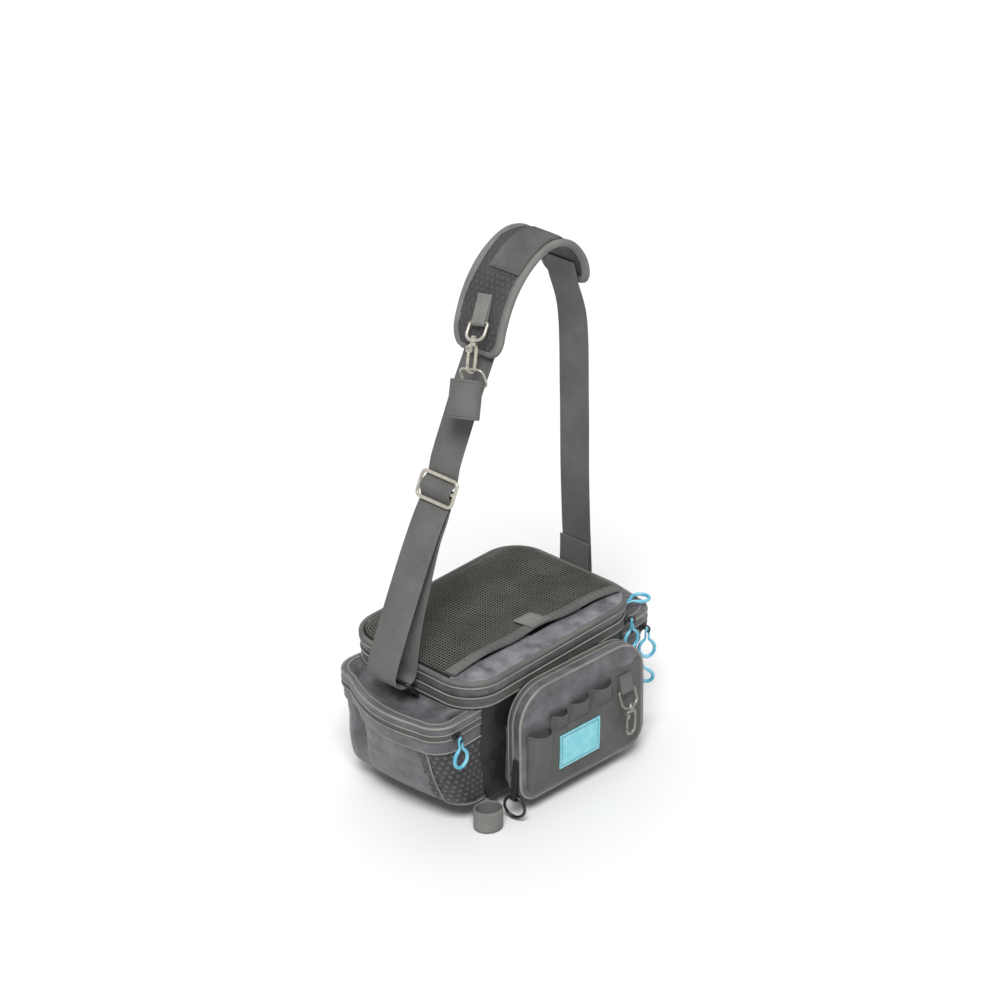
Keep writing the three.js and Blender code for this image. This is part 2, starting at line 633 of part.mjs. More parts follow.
function hookShape() {
  const w = HOOK.halfWidth;
  const path = [[w, HOOK.shoulder], [w * 0.8, HOOK.top - 1.2], [w * 0.4, HOOK.top]];
  path.push([-w * 0.4, HOOK.top], [-w * 0.8, HOOK.top - 1.2], [-w, HOOK.shoulder]);
  for (let k = 0; k <= 6; k += 1) {
    const angle = THREE.MathUtils.degToRad(180 + 30 * k);
    path.push([w * Math.cos(angle), HOOK.bend + w * Math.sin(angle)]);
  }
  path.push([w, HOOK.nose]);
  const bent = wire(path.map(([x, z]) => vec(x, leanOut, z)), hookY, () => HOOK.wire, 6, false);
  const pivot = vec(w, leanOut, GATE.pivot);
  const inner = GATE.halfLength + GAP;
  const outer = inner + CHEEK.thickness;
  const cheeks = [-1, 1].map((side) => join(
    cylinder(
      pivot.clone().addScaledVector(hookY, side * inner),
      pivot.clone().addScaledVector(hookY, side * outer),
      CHEEK.radius,
      8,
    ),
    box(
      w - CHEEK.radius,
      w + CHEEK.radius,
      leanOut + (side < 0 ? -outer : inner),
      leanOut + (side < 0 ? -inner : outer),
      GATE.pivot,
      HOOK.shoulder + 2.2,
    ),
  ));
  const yoke = box(
    w - CHEEK.radius,
    w + CHEEK.radius,
    leanOut - outer,
    leanOut + outer,
    HOOK.shoulder + 0.2,
    HOOK.shoulder + 2.2,
  );
  const pin = cylinder(
    pivot.clone().addScaledVector(hookY, -outer),
    pivot.clone().addScaledVector(hookY, outer),
    CHEEK.pin,
    8,
  );
  const hub = cylinder(axisAt(COLLAR.bottom - GAP), axisAt(HOOK.top - 1), COLLAR.radius - 0.4, 8);
  const stem = cylinder(axisAt(HOOK.top), axisAt(STEM.headTop - 0.6), STEM.radius, 8);
  const head = cylinder(axisAt(STEM.headBottom), axisAt(STEM.headTop), STEM.head, 8);
  return join(bent, hub, stem, head, yoke, pin, ...cheeks);
}

function gateShape() {
  const pivot = vec(HOOK.halfWidth, leanOut, GATE.pivot);
  const end = vec(HOOK.halfWidth, leanOut, GATE.end);
  const reach = GATE.halfLength;
  const from = pivot.clone().addScaledVector(hookY, -reach);
  const to = pivot.clone().addScaledVector(hookY, reach);
  const knuckle = cylinder(from, to, GATE.knuckle, 10);
  const bore = cylinder(
    pivot.clone().addScaledVector(hookY, -reach - 2),
    pivot.clone().addScaledVector(hookY, reach + 2),
    GATE.bore,
    8,
  );
  return cut(join(knuckle, cylinder(pivot, end, GATE.bar, 8)), bore);
}

// The front hook hangs from a tab on the sleeves
const FRONT_HOOK = { x: 62, barZ: 91, tabTop: 111, tabWidth: 19 };
const sleeveY = panelFace(FRONT_HOOK.x - FRONT_HOOK.tabWidth / 2, FRONT_HOOK.barZ)
  - TOOL_PANEL.lift - TOOL_PANEL.thickness;
const eyeHole = EYE.wire + GAP;
const frontBar = vec(FRONT_HOOK.x, sleeveY - GAP - eyeHole - TAB.wall, FRONT_HOOK.barZ);
const frontHookFrame = frontFrame.clone().multiply(new THREE.Matrix4()
  .makeBasis(vec(-1, 0, 0), vec(0, -1, 0), UP)
  .setPosition(frontBar));
const hookTabShape = onFront(foldTab(
  frontBar,
  vec(FRONT_HOOK.x, sleeveY - GAP - TAB.strip / 2, FRONT_HOOK.tabTop),
  eyeHole,
  FRONT_HOOK.tabWidth,
  vec(1, 0, 0),
));

// A zip slider with a lug, and the moulded loop that hangs from the lug
const SLIDER = { along: 11, up: 8, depth: 4, lug: 2.4, reach: 5, hole: 3.2, rim: 4.9 };
const PULL = { thin: 1.3, thick: 2.1, neckEnd: 12, ringFrom: 19, sides: 5 };
// Half of a pull's outline, as how far it has fallen and how wide it has spread: an eye, a neck and a ring
const PULL_OUTLINE = [
  [0.6, 1.9], [3.6, 2.9], [7, 2.7], [11, 2.1], [14.5, 2.6], [18, 6], [22.5, 8.8], [27.5, 9.5], [32.5, 8.6],
  [36.5, 5.6], [38.6, 2],
];
const PULL_TOP = -0.9;

function sliderShape(point, out) {
  const side = UP.clone().cross(out).normalize();
  const frame = new THREE.Matrix4().makeBasis(side, UP, side.clone().cross(UP)).setPosition(point);
  const { along, up, depth } = SLIDER;
  const block = box(-along / 2, along / 2, -up / 2, up / 2, GAP, GAP + depth);
  const reach = GAP + SLIDER.depth + SLIDER.reach;
  const half = SLIDER.lug / 2;
  const lug = join(
    cylinder(vec(-half, 0, reach), vec(half, 0, reach), SLIDER.rim, 8),
    box(-half, half, -SLIDER.rim, SLIDER.rim, GAP + 1, reach),
  );
  const hole = cylinder(vec(-half - 2, 0, reach), vec(half + 2, 0, reach), SLIDER.hole, 8);
  return cut(join(block, lug), hole).applyMatrix4(frame);
}

// The pull hangs along fall and lies across side; its wire is thin at the lug and thick round the ring
function pullShape(point, out, fall) {
  const side = UP.clone().cross(out).normalize();
  const top = point.clone().addScaledVector(out, GAP + SLIDER.depth + SLIDER.reach);
  const back = PULL_OUTLINE.map(([drop, spread]) => [drop, -spread]).reverse();
  const outline = [[PULL_TOP, 0], ...PULL_OUTLINE, ...back];
  const path = outline.map(([drop, spread]) => top.clone()
    .addScaledVector(side, spread)
    .addScaledVector(fall, drop));
  const bulk = (t) => {
    const [drop] = outline[Math.round(t * outline.length)];
    return mix(PULL.thin, PULL.thick, clamp01((drop - PULL.neckEnd) / (PULL.ringFrom - PULL.neckEnd)));
  };
  return wire(path, side.clone().cross(fall), bulk, PULL.sides);
}

const cornerPoint = (angle) => {
  const halfFacet = THREE.MathUtils.degToRad(45 / CORNER_STEPS);
  const round = (BODY.corner + LID_ZIP.face) * Math.cos(halfFacet);
  const turn = THREE.MathUtils.degToRad(angle);
  const out = vec(Math.cos(turn), Math.sin(turn), 0);
  const point = vec(BODY.halfX - BODY.corner, -(BODY.halfY - BODY.corner), LID_ZIP.middleZ);
  return { point: point.addScaledVector(out, round), out };
};
const END_SLIDER_ANGLE = 268;
const endCornerPoint = ({ rim }, side) => {
  const turn = THREE.MathUtils.degToRad(END_SLIDER_ANGLE);
  const out = vec(Math.cos(turn), Math.sin(turn), 0);
  const point = vec(
    -(rim.frontOut - END_POCKET.corner),
    END_POCKET.front + END_POCKET.corner,
    (END_ZIP.from + END_ZIP.to) / 2,
  ).addScaledVector(out, END_POCKET.corner + END_ZIP.face);
  return { point: vec(point.x * side, point.y, point.z), out: vec(out.x * side, out.y, 0) };
};
const FRONT_SLIDER_Z = 100;
const frontSliderPoint = {
  point: vec(FRONT.halfX + FRONT_ZIP.face, (FRONT_ZIP.from + FRONT_ZIP.to) / 2, FRONT_SLIDER_Z)
    .applyMatrix4(frontFrame),
  out: vec(1, 0, 0).transformDirection(frontFrame),
};

// The shoulder pad follows a smooth curve over the shoulder
const padCurve = new THREE.CatmullRomCurve3(PAD_PATH.map(([x, z]) => vec(x, 0, z)));
function padFrame(t) {
  const along = padCurve.getTangent(t);
  return { point: padCurve.getPoint(t), along, out: along.clone().cross(ACROSS).normalize() };
}

const padWidthAt = (t) => {
  const fromEnd = Math.min(t, 1 - t) / 0.09;
  const round = fromEnd < 1 ? Math.sqrt(1 - (1 - fromEnd) ** 2) : 1;
  return PAD.width * (0.62 + 0.38 * round);
};
const PAD_SECTION = [
  [-0.5, -0.5], [-0.4, -0.9], [-0.25, -1], [0.25, -1], [0.4, -0.9], [0.5, -0.5],
  [0.5, 0.5], [0.4, 0.9], [0.25, 1], [-0.25, 1], [-0.4, 0.9], [-0.5, 0.5],
];
const PAD_STEPS = 18;
const padShape = loft(Array.from({ length: PAD_STEPS + 1 }, (_, k) => {
  const t = k / PAD_STEPS;
  const { point, out } = padFrame(t);
  const thin = Math.min(t, 1 - t) < 0.01 ? 0.6 : 1;
  return PAD_SECTION.map(([across, depth]) => point.clone()
    .addScaledVector(ACROSS, across * padWidthAt(t))
    .addScaledVector(out, (depth * PAD.thickness * thin) / 2));
}));

// The bound edge runs once round the outline of the pad
function padBinding() {
  const outline = [];
  const steps = 20;
  for (let k = 0; k <= steps; k += 1) outline.push([k / steps, 0.5]);
  for (let k = steps; k >= 0; k -= 1) outline.push([k / steps, -0.5]);
  const places = outline.map(([t, across]) => {
    const { point, out } = padFrame(t);
    return { out, point: point.addScaledVector(ACROSS, across * padWidthAt(t)) };
  });
  const count = places.length;
  const rings = places.map(({ point, out }, i) => {
    const before = places[(i + count - 1) % count].point;
    const after = places[(i + 1) % count].point;
    const side = out.clone().cross(after.clone().sub(before)).normalize();
    return [[0, -1], [1, -1], [1, 1], [0, 1]].map(([far, depth]) => point.clone()
      .addScaledVector(side, GAP + 0.2 + far * PAD_BINDING.width)
      .addScaledVector(out, (depth * PAD_BINDING.thickness) / 2));
  });
  return loft(rings, true);
}

const padPatchShape = slab(2, 14, (u, v) => {
  const { point, out } = padFrame(mix(PAD_PATCH.from, PAD_PATCH.to, v));
  const low = PAD.thickness / 2 + GAP;
  const side = mix(PAD_PATCH.near, PAD_PATCH.far, u);
  return [low + PAD_PATCH.thickness, low].map((height) => point.clone()
    .addScaledVector(ACROSS, side)
    .addScaledVector(out, height));
});

const padOutside = (t, height) => {
  const { point, out } = padFrame(t);
  return point.addScaledVector(out, height).setY(PAD_TAB.y);
};
const padFace = PAD.thickness / 2 + GAP + PAD_TAB.lift;
const padBar = padOutside(PAD_TAB.barAt, padFace + PAD_TAB.hole + TAB.wall);
// The left leg of the strap: out of the pad, through the adjuster, round the ring and back to the adjuster
const legFoot = vec(LEFT_LEG.footX, 0, LEFT_LEG.footZ);
const legUp = vec(LEFT_LEG.topX, 0, LEFT_LEG.topZ).sub(legFoot).normalize();
const legOut = vec(-legUp.z, 0, legUp.x);
const onLeg = (along, out) => legFoot.clone().addScaledVector(legUp, along).addScaledVector(legOut, out);
const adjusterAt = (ADJUSTER.height - LEFT_LEG.footZ) / legUp.z;
const underPad = (t) => {
  const { point, out } = padFrame(t);
  return point.addScaledVector(out, -(PAD.thickness / 2 + PAD.seat + STRAP.thickness / 2));
};
const THREADING = [
  [120, 0], [80, 0], [45, 0], [30, -0.8], [22, -2.4], [15, -3.7], [11, -2.4], [7.5, 0], [4, 2.4], [0, 3.7],
  [-4, 2.4], [-7.5, 0], [-11, -2.4], [-15, -3.7], [-22, -2.8], [-32, -1.2], [-60, 0.8], [-110, 2],
];
const RETURN_END = [[-32, -7.4], [-15, -6.4], [-7, -4.9], [0, -3.7], [4, -3.7]];
const turnCentre = onLeg(0, -LEFT_LEG.turnRadius);
const turnStart = Math.atan2(legOut.z, legOut.x);
const leftTurn = Array.from({ length: 9 }, (_, k) => {
  const angle = turnStart + (THREE.MathUtils.degToRad(205) * k) / 8;
  return turnCentre.clone().add(vec(Math.cos(angle), 0, Math.sin(angle)).multiplyScalar(LEFT_LEG.turnRadius));
});
const leftPath = [
  ...[0.13, 0.08, 0.04, 0].map(underPad),
  ...THREADING.map(([along, out]) => onLeg(adjusterAt + along, out)),
  ...leftTurn,
  ...LEFT_RETURN.map(([x, z]) => vec(x, 0, z)),
  ...RETURN_END.map(([along, out]) => onLeg(adjusterAt + along, out)),
];
const adjusterCentre = onLeg(adjusterAt, 0);
const adjusterShape = join(
  wire(
    roundedLoop(adjusterCentre, ACROSS, legUp, ADJUSTER.halfWidth, ADJUSTER.halfLength, ADJUSTER.corner),
    legOut,
    () => ADJUSTER.wire,
  ),
  cylinder(
    adjusterCentre.clone().addScaledVector(ACROSS, -ADJUSTER.halfWidth),
    adjusterCentre.clone().addScaledVector(ACROSS, ADJUSTER.halfWidth),
    ADJUSTER.wire,
    8,
  ),
);

// The right leg: out of the pad, down and round the ring, its tail sewn to its inner side
const rightTurn = Array.from({ length: 7 }, (_, k) => {
  const angle = -Math.PI * (k / 6);
  const reach = STRAP_RING.wire + GAP + STRAP.thickness / 2;
  const [x, z] = RIGHT_RING.strap;
  return vec(x + reach * Math.cos(angle), RIGHT_RING.y, z + reach * Math.sin(angle));
});
const rightPath = [
  ...[0.88, 0.93, 0.97, 1].map(underPad),
  ...RIGHT_LEG.map(([x, z, y]) => vec(x, y, z)),
  ...rightTurn,
  ...RIGHT_TAIL.map(([x, z, y]) => vec(x, y, z)),
];

function strapRing({ tab, strap, y }) {
  const low = vec(tab[0], y, tab[1]);
  const high = vec(strap[0], y, strap[1]);
  const along = high.clone().sub(low);
  const centre = low.clone().add(high).multiplyScalar(0.5);
  const halfLength = along.length() / 2;
  along.normalize();
  const loop = roundedLoop(centre, ACROSS, along, STRAP_RING.halfWidth, halfLength, STRAP_RING.corner);
  return wire(loop, ACROSS.clone().cross(along), () => STRAP_RING.wire);
}

// The tab of a ring is sewn down on the roof of the end pocket
function ringTab({ tab, y }) {
  const side = Math.sign(tab[0]);
  const roof = roofSlope(END_LID.top)(-STRAP_RING.tabEnd) + GAP + TAB.strip / 2;
  const end = vec(side * STRAP_RING.tabEnd, y, roof);
  return foldTab(vec(tab[0], y, tab[1]), end, STRAP_RING.wire + GAP, STRAP_RING.tabWidth, ACROSS);
}

// The upper rod loop hangs from the pad by a snap hook and lies along the left leg
const ROD_BAND = { halfX: 21, halfY: 13, thickness: 2.4, top: -64, height: 44, shiftY: 4.6 };
const ROD_RING = {
  wire: 1.5, halfWidth: 16, topZ: -52.5, barZ: -69.7, barIn: 13.3, corner: 6, tabWidth: 18, tabEnd: -97,
  tabLean: 3,
};
const chainUp = vec(0.39, 0.22, 0.9).normalize();
const chainOut = legOut.clone().addScaledVector(chainUp, -legOut.dot(chainUp)).normalize();
const chainAcross = chainOut.clone().cross(chainUp);
const chainFrame = new THREE.Matrix4()
  .makeBasis(chainAcross, chainOut, chainUp)
  .setPosition(padBar);
const turnOver = new THREE.Matrix4().makeTranslation(0, leanOut, 0)
  .multiply(new THREE.Matrix4().makeRotationZ(Math.PI / 2))
  .multiply(new THREE.Matrix4().makeTranslation(0, -leanOut, 0));
const onChain = (geometry) => geometry.applyMatrix4(chainFrame);
const padTabEnd = padOutside(PAD_TAB.endAt, padFace + TAB.strip / 2).addScaledVector(ACROSS, PAD_TAB.skew);
const padTabShape = foldTab(padBar, padTabEnd, PAD_TAB.hole, PAD_TAB.width, chainAcross);

function rodRing() {
  const high = vec(0, leanOut, ROD_RING.topZ);
  const low = vec(0, leanOut - ROD_RING.barIn, ROD_RING.barZ);
  const along = high.clone().sub(low);
  const centre = high.clone().add(low).multiplyScalar(0.5);
  const halfLength = along.length() / 2;
  along.normalize();
  const loop = roundedLoop(centre, hookX, along, ROD_RING.halfWidth, halfLength, ROD_RING.corner);
  return wire(loop, hookX.clone().cross(along), () => ROD_RING.wire);
}

// A band of webbing closed on itself, standing along z
const BAND_STEPS = 20;
function bandShape(centre, right, forward, halfRight, halfForward, thickness, bottom, top) {
  const steps = BAND_STEPS;
  const ringAt = (inset, z) => Array.from({ length: steps }, (_, k) => {
    const angle = (TURN * k) / steps;
    return centre.clone().setZ(z)
      .addScaledVector(right, (halfRight - inset) * Math.cos(angle))
      .addScaledVector(forward, (halfForward - inset) * Math.sin(angle));
  });
  return loft([ringAt(0, bottom), ringAt(0, top), ringAt(thickness, top), ringAt(thickness, bottom)], true);
}

const rodBandBottom = ROD_BAND.top - ROD_BAND.height;
const rodBandY = leanOut + ROD_BAND.shiftY;
const rodBandShape = onChain(bandShape(vec(0, rodBandY, 0), hookX, hookY, ROD_BAND.halfX, ROD_BAND.halfY,
  ROD_BAND.thickness, rodBandBottom, ROD_BAND.top));
const rodBarY = leanOut - ROD_RING.barIn;
const rodTabEnd = vec(0, rodBarY + ROD_RING.tabLean, ROD_RING.tabEnd);
const rodBandTabShape = onChain(foldTab(vec(0, rodBarY, ROD_RING.barZ), rodTabEnd,
  ROD_RING.wire + GAP, ROD_RING.tabWidth, hookX));

// The lower rod loop stands off the front left corner of the base
const LOWER_BAND = { halfRight: 17.5, halfOut: 15, thickness: 2.4, bottom: -18, top: 8, standOff: 4.6 };
const LOWER_TAB = { halfWidth: 9, bottom: 0.5, top: 5.5 };
const lowerOut = vec(-0.45, -0.893, 0).normalize();
const lowerRight = lowerOut.clone().cross(UP);
const cornerCentre = vec(-(BODY.halfX - BODY.corner), -(BODY.halfY - BODY.corner), 0);
const lowerReach = BODY.corner + LOWER_BAND.standOff + LOWER_BAND.halfOut;
const lowerCentre = cornerCentre.clone().addScaledVector(lowerOut, lowerReach);
const lowerBandShape = bandShape(lowerCentre, lowerRight, lowerOut, LOWER_BAND.halfRight, LOWER_BAND.halfOut,
  LOWER_BAND.thickness, LOWER_BAND.bottom, LOWER_BAND.top);
const lowerBandSpace = loft([LOWER_BAND.bottom - 5, LOWER_BAND.top + 5].map((z) => {
  return Array.from({ length: BAND_STEPS }, (_, k) => {
    const angle = (TURN * k) / BAND_STEPS;
    return lowerCentre.clone().setZ(z)
      .addScaledVector(lowerRight, (LOWER_BAND.halfRight + GAP) * Math.cos(angle))
      .addScaledVector(lowerOut, (LOWER_BAND.halfOut + GAP) * Math.sin(angle));
  });
}));
const lowerTabShape = cut(
  box(-LOWER_TAB.halfWidth, LOWER_TAB.halfWidth, BODY.corner - 6, BODY.corner + LOWER_BAND.standOff + 3,
    LOWER_TAB.bottom, LOWER_TAB.top)
    .applyMatrix4(new THREE.Matrix4().makeBasis(lowerRight, lowerOut, UP).setPosition(cornerCentre)),
  bodySpace,
  lowerBandSpace,
);

// The black ring and its tab on the left side of the front pocket
const CORNER_RING = {
  radius: 13.5, wire: 1.9, twist: -15, y: 6.5, barZ: 12, tabTop: 60, width: 8, hole: 3.3,
};
const cornerBar = vec(-FRONT.halfX - GAP - CORNER_RING.hole - TAB.wall, CORNER_RING.y, CORNER_RING.barZ);
const cornerTabEnd = vec(-FRONT.halfX - GAP - TAB.strip / 2, CORNER_RING.y, CORNER_RING.tabTop);
const cornerTabShape = onFront(foldTab(cornerBar, cornerTabEnd, CORNER_RING.hole, CORNER_RING.width, ACROSS));
const twist = THREE.MathUtils.degToRad(CORNER_RING.twist);
const ringSide = vec(Math.sin(twist), Math.cos(twist), 0);
const ringSteps = 16;
const ringPath = Array.from({ length: ringSteps }, (_, k) => {
  const angle = (TURN * k) / ringSteps;
  return cornerBar.clone()
    .addScaledVector(DOWN, CORNER_RING.radius * (1 - Math.cos(angle)) - 0.4)
    .addScaledVector(ringSide, CORNER_RING.radius * Math.sin(angle));
});
const cornerRingShape = onFront(wire(ringPath, ringSide.clone().cross(UP), () => CORNER_RING.wire));

// The black loop of webbing on the right side of the front pocket
const SIDE_LOOP = { y: 32, width: 9, thickness: 1.8 };
const SIDE_LOOP_PATH = [
  { out: 0, z: 30 }, { out: 0, z: 68 }, { out: 4, z: 73 }, { out: 9, z: 81 }, { out: 10.5, z: 89 },
  { out: 8, z: 98 }, { out: 3, z: 105 }, { out: 0, z: 108 }, { out: 0, z: 116 },
];
const gussetSlope = vec(-GUSSET.backInset, GUSSET.to - GUSSET.from, 0).normalize();
const gussetOut = vec(gussetSlope.y, -gussetSlope.x, 0);
const gussetPoint = vec(FRONT.halfX, GUSSET.from, 0)
  .addScaledVector(gussetSlope, SIDE_LOOP.y - GUSSET.from)
  .addScaledVector(gussetOut, GAP + SIDE_LOOP.thickness / 2);
const sideLoopShape = onFront(ribbon(
  SIDE_LOOP_PATH.map(({ out, z }) => gussetPoint.clone().addScaledVector(gussetOut, out).setZ(z)),
  SIDE_LOOP.width,
  SIDE_LOOP.thickness,
  () => gussetSlope,
));

// The whole bag
const bag = new THREE.Group();
bag.name = "lure_bag";
function add(name, geometry, colour, roughness = 0.9, metalness = 0) {
  const material = new THREE.MeshStandardMaterial({ color: colour, roughness, metalness });
  const shape = new THREE.BufferGeometry();
  shape.setAttribute("position", geometry.getAttribute("position"));
  shape.setIndex(geometry.index);
  shape.computeVertexNormals();
  const mesh = new THREE.Mesh(shape, material);
  mesh.name = name;
  bag.add(mesh);
}

add("main_body", bodyShape, CLOTH);
add("lid_zip", keep(lidZipRing, zipSide), DARK);
add("lid_hinge", keep(lidZipRing, hingeSide), CLOTH);
add("main_lid", lidShape, "#8b888c");
add("lid_mesh", meshShape, "#3c3c3a");
add("mesh_binding", bindingShape, "#7d7c7a");
add("mesh_tab", meshTabShape, "#8f8d8a");
for (const [side, sizes, turned] of [["left", LEFT_END, asIs], ["right", RIGHT_END, mirrored]]) {
  const shapes = endPocket(sizes);
  add(`${side}_pocket_body`, endShell(shapes.body, turned), CLOTH);
  add(`${side}_pocket_zip`, endShell(shapes.zip, turned), DARK);
  add(`${side}_pocket_lid`, endShell(shapes.lid, turned), CLOTH);
}
add("front_pocket_gusset", cut(onFront(gussetRing), bodySpace, zipSpace), DARK);
add("front_pocket_zip", onFront(keep(frontZipRing, aboveHinge)), DARK);
add("front_pocket_hinge", onFront(keep(frontZipRing, belowHinge)), CLOTH);
add("front_pocket_panel", onFront(panelShape), CLOTH);
add("tool_panel", onFront(toolPanelShape), CLOTH);
add("label_patch", onFront(labelShape), BLUE);
add("hook_tab", hookTabShape, WEBBING);
add("front_hook_eye", eyeShape().applyMatrix4(frontHookFrame), METAL, 0.4, 1);
add("front_hook_body", hookShape().applyMatrix4(frontHookFrame), METAL, 0.4, 1);
add("front_hook_gate", gateShape().applyMatrix4(frontHookFrame), METAL, 0.4, 1);

const LID_SLIDERS = { hanging: -56.25, lying: -11.25 };
const ROOF_FALL = 0.1;
const onRoof = cornerPoint(LID_SLIDERS.lying).out.addScaledVector(DOWN, ROOF_FALL).normalize();
const SLIDERS = [
  { name: "lid_slider_a", pull: "lid_pull_a", fall: DOWN, ...cornerPoint(LID_SLIDERS.hanging) },
  { name: "lid_slider_b", pull: "lid_pull_b", fall: onRoof, ...cornerPoint(LID_SLIDERS.lying) },
  { name: "left_pocket_slider", pull: "left_pocket_pull", fall: DOWN, ...endCornerPoint(LEFT_END, 1) },
  { name: "right_pocket_slider", pull: "right_pocket_pull", fall: DOWN, ...endCornerPoint(RIGHT_END, -1) },
  { name: "front_pocket_slider", pull: "front_pocket_pull", fall: DOWN, ...frontSliderPoint },
];
for (const { name, pull, point, out, fall } of SLIDERS) {
  add(name, sliderShape(point, out), DARK, 0.5);
  add(pull, pullShape(point, out, fall), BLUE, 0.5);
}

add("shoulder_pad", padShape, CLOTH);
add("pad_binding", padBinding(), WEBBING);
add("pad_patch", padPatchShape, CLOTH);
add("pad_tab", padTabShape, WEBBING);
add("strap_left", ribbon(leftPath, STRAP.width, STRAP.thickness), WEBBING);
add("strap_right", ribbon(rightPath, STRAP.width, STRAP.thickness), WEBBING);
add("strap_adjuster", adjusterShape, METAL, 0.4, 1);
add("left_ring", strapRing(LEFT_RING), DARK, 0.5);
add("left_ring_tab", ringTab(LEFT_RING), DARK);
add("right_ring", strapRing(RIGHT_RING), DARK, 0.5);
add("right_ring_tab", ringTab(RIGHT_RING), DARK);
add("rod_hook_eye", onChain(eyeShape()), METAL, 0.4, 1);
add("rod_hook_body", onChain(hookShape().applyMatrix4(turnOver)), METAL, 0.4, 1);
add("rod_hook_gate", onChain(gateShape().applyMatrix4(turnOver)), METAL, 0.4, 1);
add("rod_ring", onChain(rodRing()), METAL, 0.4, 1);
add("rod_band", rodBandShape, WEBBING);
add("rod_band_tab", rodBandTabShape, WEBBING);
add("lower_band", lowerBandShape, WEBBING);
add("lower_band_tab", lowerTabShape, WEBBING);
add("corner_tab", cornerTabShape, DARK);
add("corner_ring", cornerRingShape, DARK, 0.5);
add("side_loop", sideLoopShape, DARK);

// The origin is the highest point of the pad's underside
const crown = underPad(4 / 7).addScaledVector(UP, STRAP.thickness / 2 + GAP);
bag.children.forEach((mesh) => mesh.geometry.translate(-crown.x, 0, -crown.z));

export default bag;
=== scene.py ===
# Soft lure bag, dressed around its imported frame.
# Shapes are worked out in millimetres in the bag's own frame: base at z = 0, middle of the body at x = 0,
# front towards -Y. makePiece turns them to metres in the part's frame.
import math

import bmesh
import bpy
import numpy as np
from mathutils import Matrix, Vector


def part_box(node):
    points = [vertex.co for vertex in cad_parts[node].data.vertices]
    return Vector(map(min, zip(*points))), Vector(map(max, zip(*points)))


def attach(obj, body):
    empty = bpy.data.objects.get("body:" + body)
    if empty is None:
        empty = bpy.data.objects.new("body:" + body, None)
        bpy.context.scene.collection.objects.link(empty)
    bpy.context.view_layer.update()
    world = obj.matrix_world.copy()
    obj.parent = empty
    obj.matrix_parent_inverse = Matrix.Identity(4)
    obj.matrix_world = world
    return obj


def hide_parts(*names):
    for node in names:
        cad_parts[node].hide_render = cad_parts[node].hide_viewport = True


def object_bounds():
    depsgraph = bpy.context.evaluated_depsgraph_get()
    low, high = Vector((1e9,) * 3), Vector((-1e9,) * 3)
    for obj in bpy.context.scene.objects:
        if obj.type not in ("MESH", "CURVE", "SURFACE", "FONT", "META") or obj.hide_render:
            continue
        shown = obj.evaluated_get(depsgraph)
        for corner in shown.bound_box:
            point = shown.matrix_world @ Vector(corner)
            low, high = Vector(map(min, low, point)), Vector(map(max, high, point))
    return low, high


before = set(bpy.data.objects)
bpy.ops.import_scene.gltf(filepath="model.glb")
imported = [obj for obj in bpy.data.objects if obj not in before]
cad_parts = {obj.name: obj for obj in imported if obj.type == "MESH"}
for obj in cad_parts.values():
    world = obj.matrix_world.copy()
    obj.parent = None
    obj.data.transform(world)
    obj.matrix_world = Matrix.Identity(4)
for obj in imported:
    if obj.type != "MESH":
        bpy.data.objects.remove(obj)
cadLow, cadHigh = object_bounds()
baseLow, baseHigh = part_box("main_body")
bagOrigin = np.array([(baseLow.x + baseHigh.x) / 2, 0.0, baseLow.z])
axisX, axisY, axisZ = np.eye(3)
mmPerMetre = 1000
print("frame loaded,", len(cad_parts), "nodes")


# small sums on arrays of vectors
def unit(v):  # each vector over its own length
    return v / np.maximum(np.linalg.norm(v, axis=-1, keepdims=True), 1e-9)


def between(a, b, t):  # a at 0, b at 1, straight from one to the other
    return a + (b - a) * t


def ease(t):  # 3t^2 - 2t^3, level at both ends
    t = np.clip(t, 0, 1)
    return t * t * (3 - 2 * t)


def squared(w, power):  # a sine or cosine raised to a small power with its sign kept, which squares up a ring
    return np.sign(w) * np.abs(w) ** power


def wholeTurn(count):  # the angles of a closed ring
    return np.linspace(0, 2 * np.pi, count, endpoint=False)


def levelWay(degrees):  # the level direction at an angle from +X
    return np.array([math.cos(math.radians(degrees)), math.sin(math.radians(degrees)), 0])


def heading(path, loop=False):  # the step from the point before to the point after, made one long
    path = np.asarray(path, float)
    return unit(np.roll(path, -1, 0) - np.roll(path, 1, 0) if loop else np.gradient(path, axis=0))


def curveAt(knots, t):
    # smooth curve through knots: a cubic for each span whose slopes weigh the neighbours by root distance
    knots = np.asarray(knots, float)
    held = np.vstack([2 * knots[0] - knots[1], knots, 2 * knots[-1] - knots[-2]])
    place = np.clip(np.asarray(t, float), 0, 1) * (len(knots) - 1)
    span = np.minimum(place.astype(int), len(knots) - 2)
    w = (place - span)[:, None]
    p0, p1, p2, p3 = (held[span + k] for k in range(4))
    d0, d1, d2 = (np.sqrt(np.maximum(np.linalg.norm(b - a, axis=1, keepdims=True), 1e-6))
                  for a, b in ((p0, p1), (p1, p2), (p2, p3)))
    m1 = ((p1 - p0) / d0 - (p2 - p0) / (d0 + d1) + (p2 - p1) / d1) * d1
    m2 = ((p2 - p1) / d1 - (p3 - p1) / (d1 + d2) + (p3 - p2) / d2) * d1
    return p1 + w * m1 + w ** 2 * (3 * (p2 - p1) - 2 * m1 - m2) + w ** 3 * (2 * (p1 - p2) + m1 + m2)


def smoothRows(knots, count):  # the same curve at equal shares of its spans
    return curveAt(knots, np.linspace(0, 1, count))


def reachOf(path):  # the length of a line up to each of its points
    return np.r_[0, np.cumsum(np.linalg.norm(np.diff(path, axis=0), axis=1))]


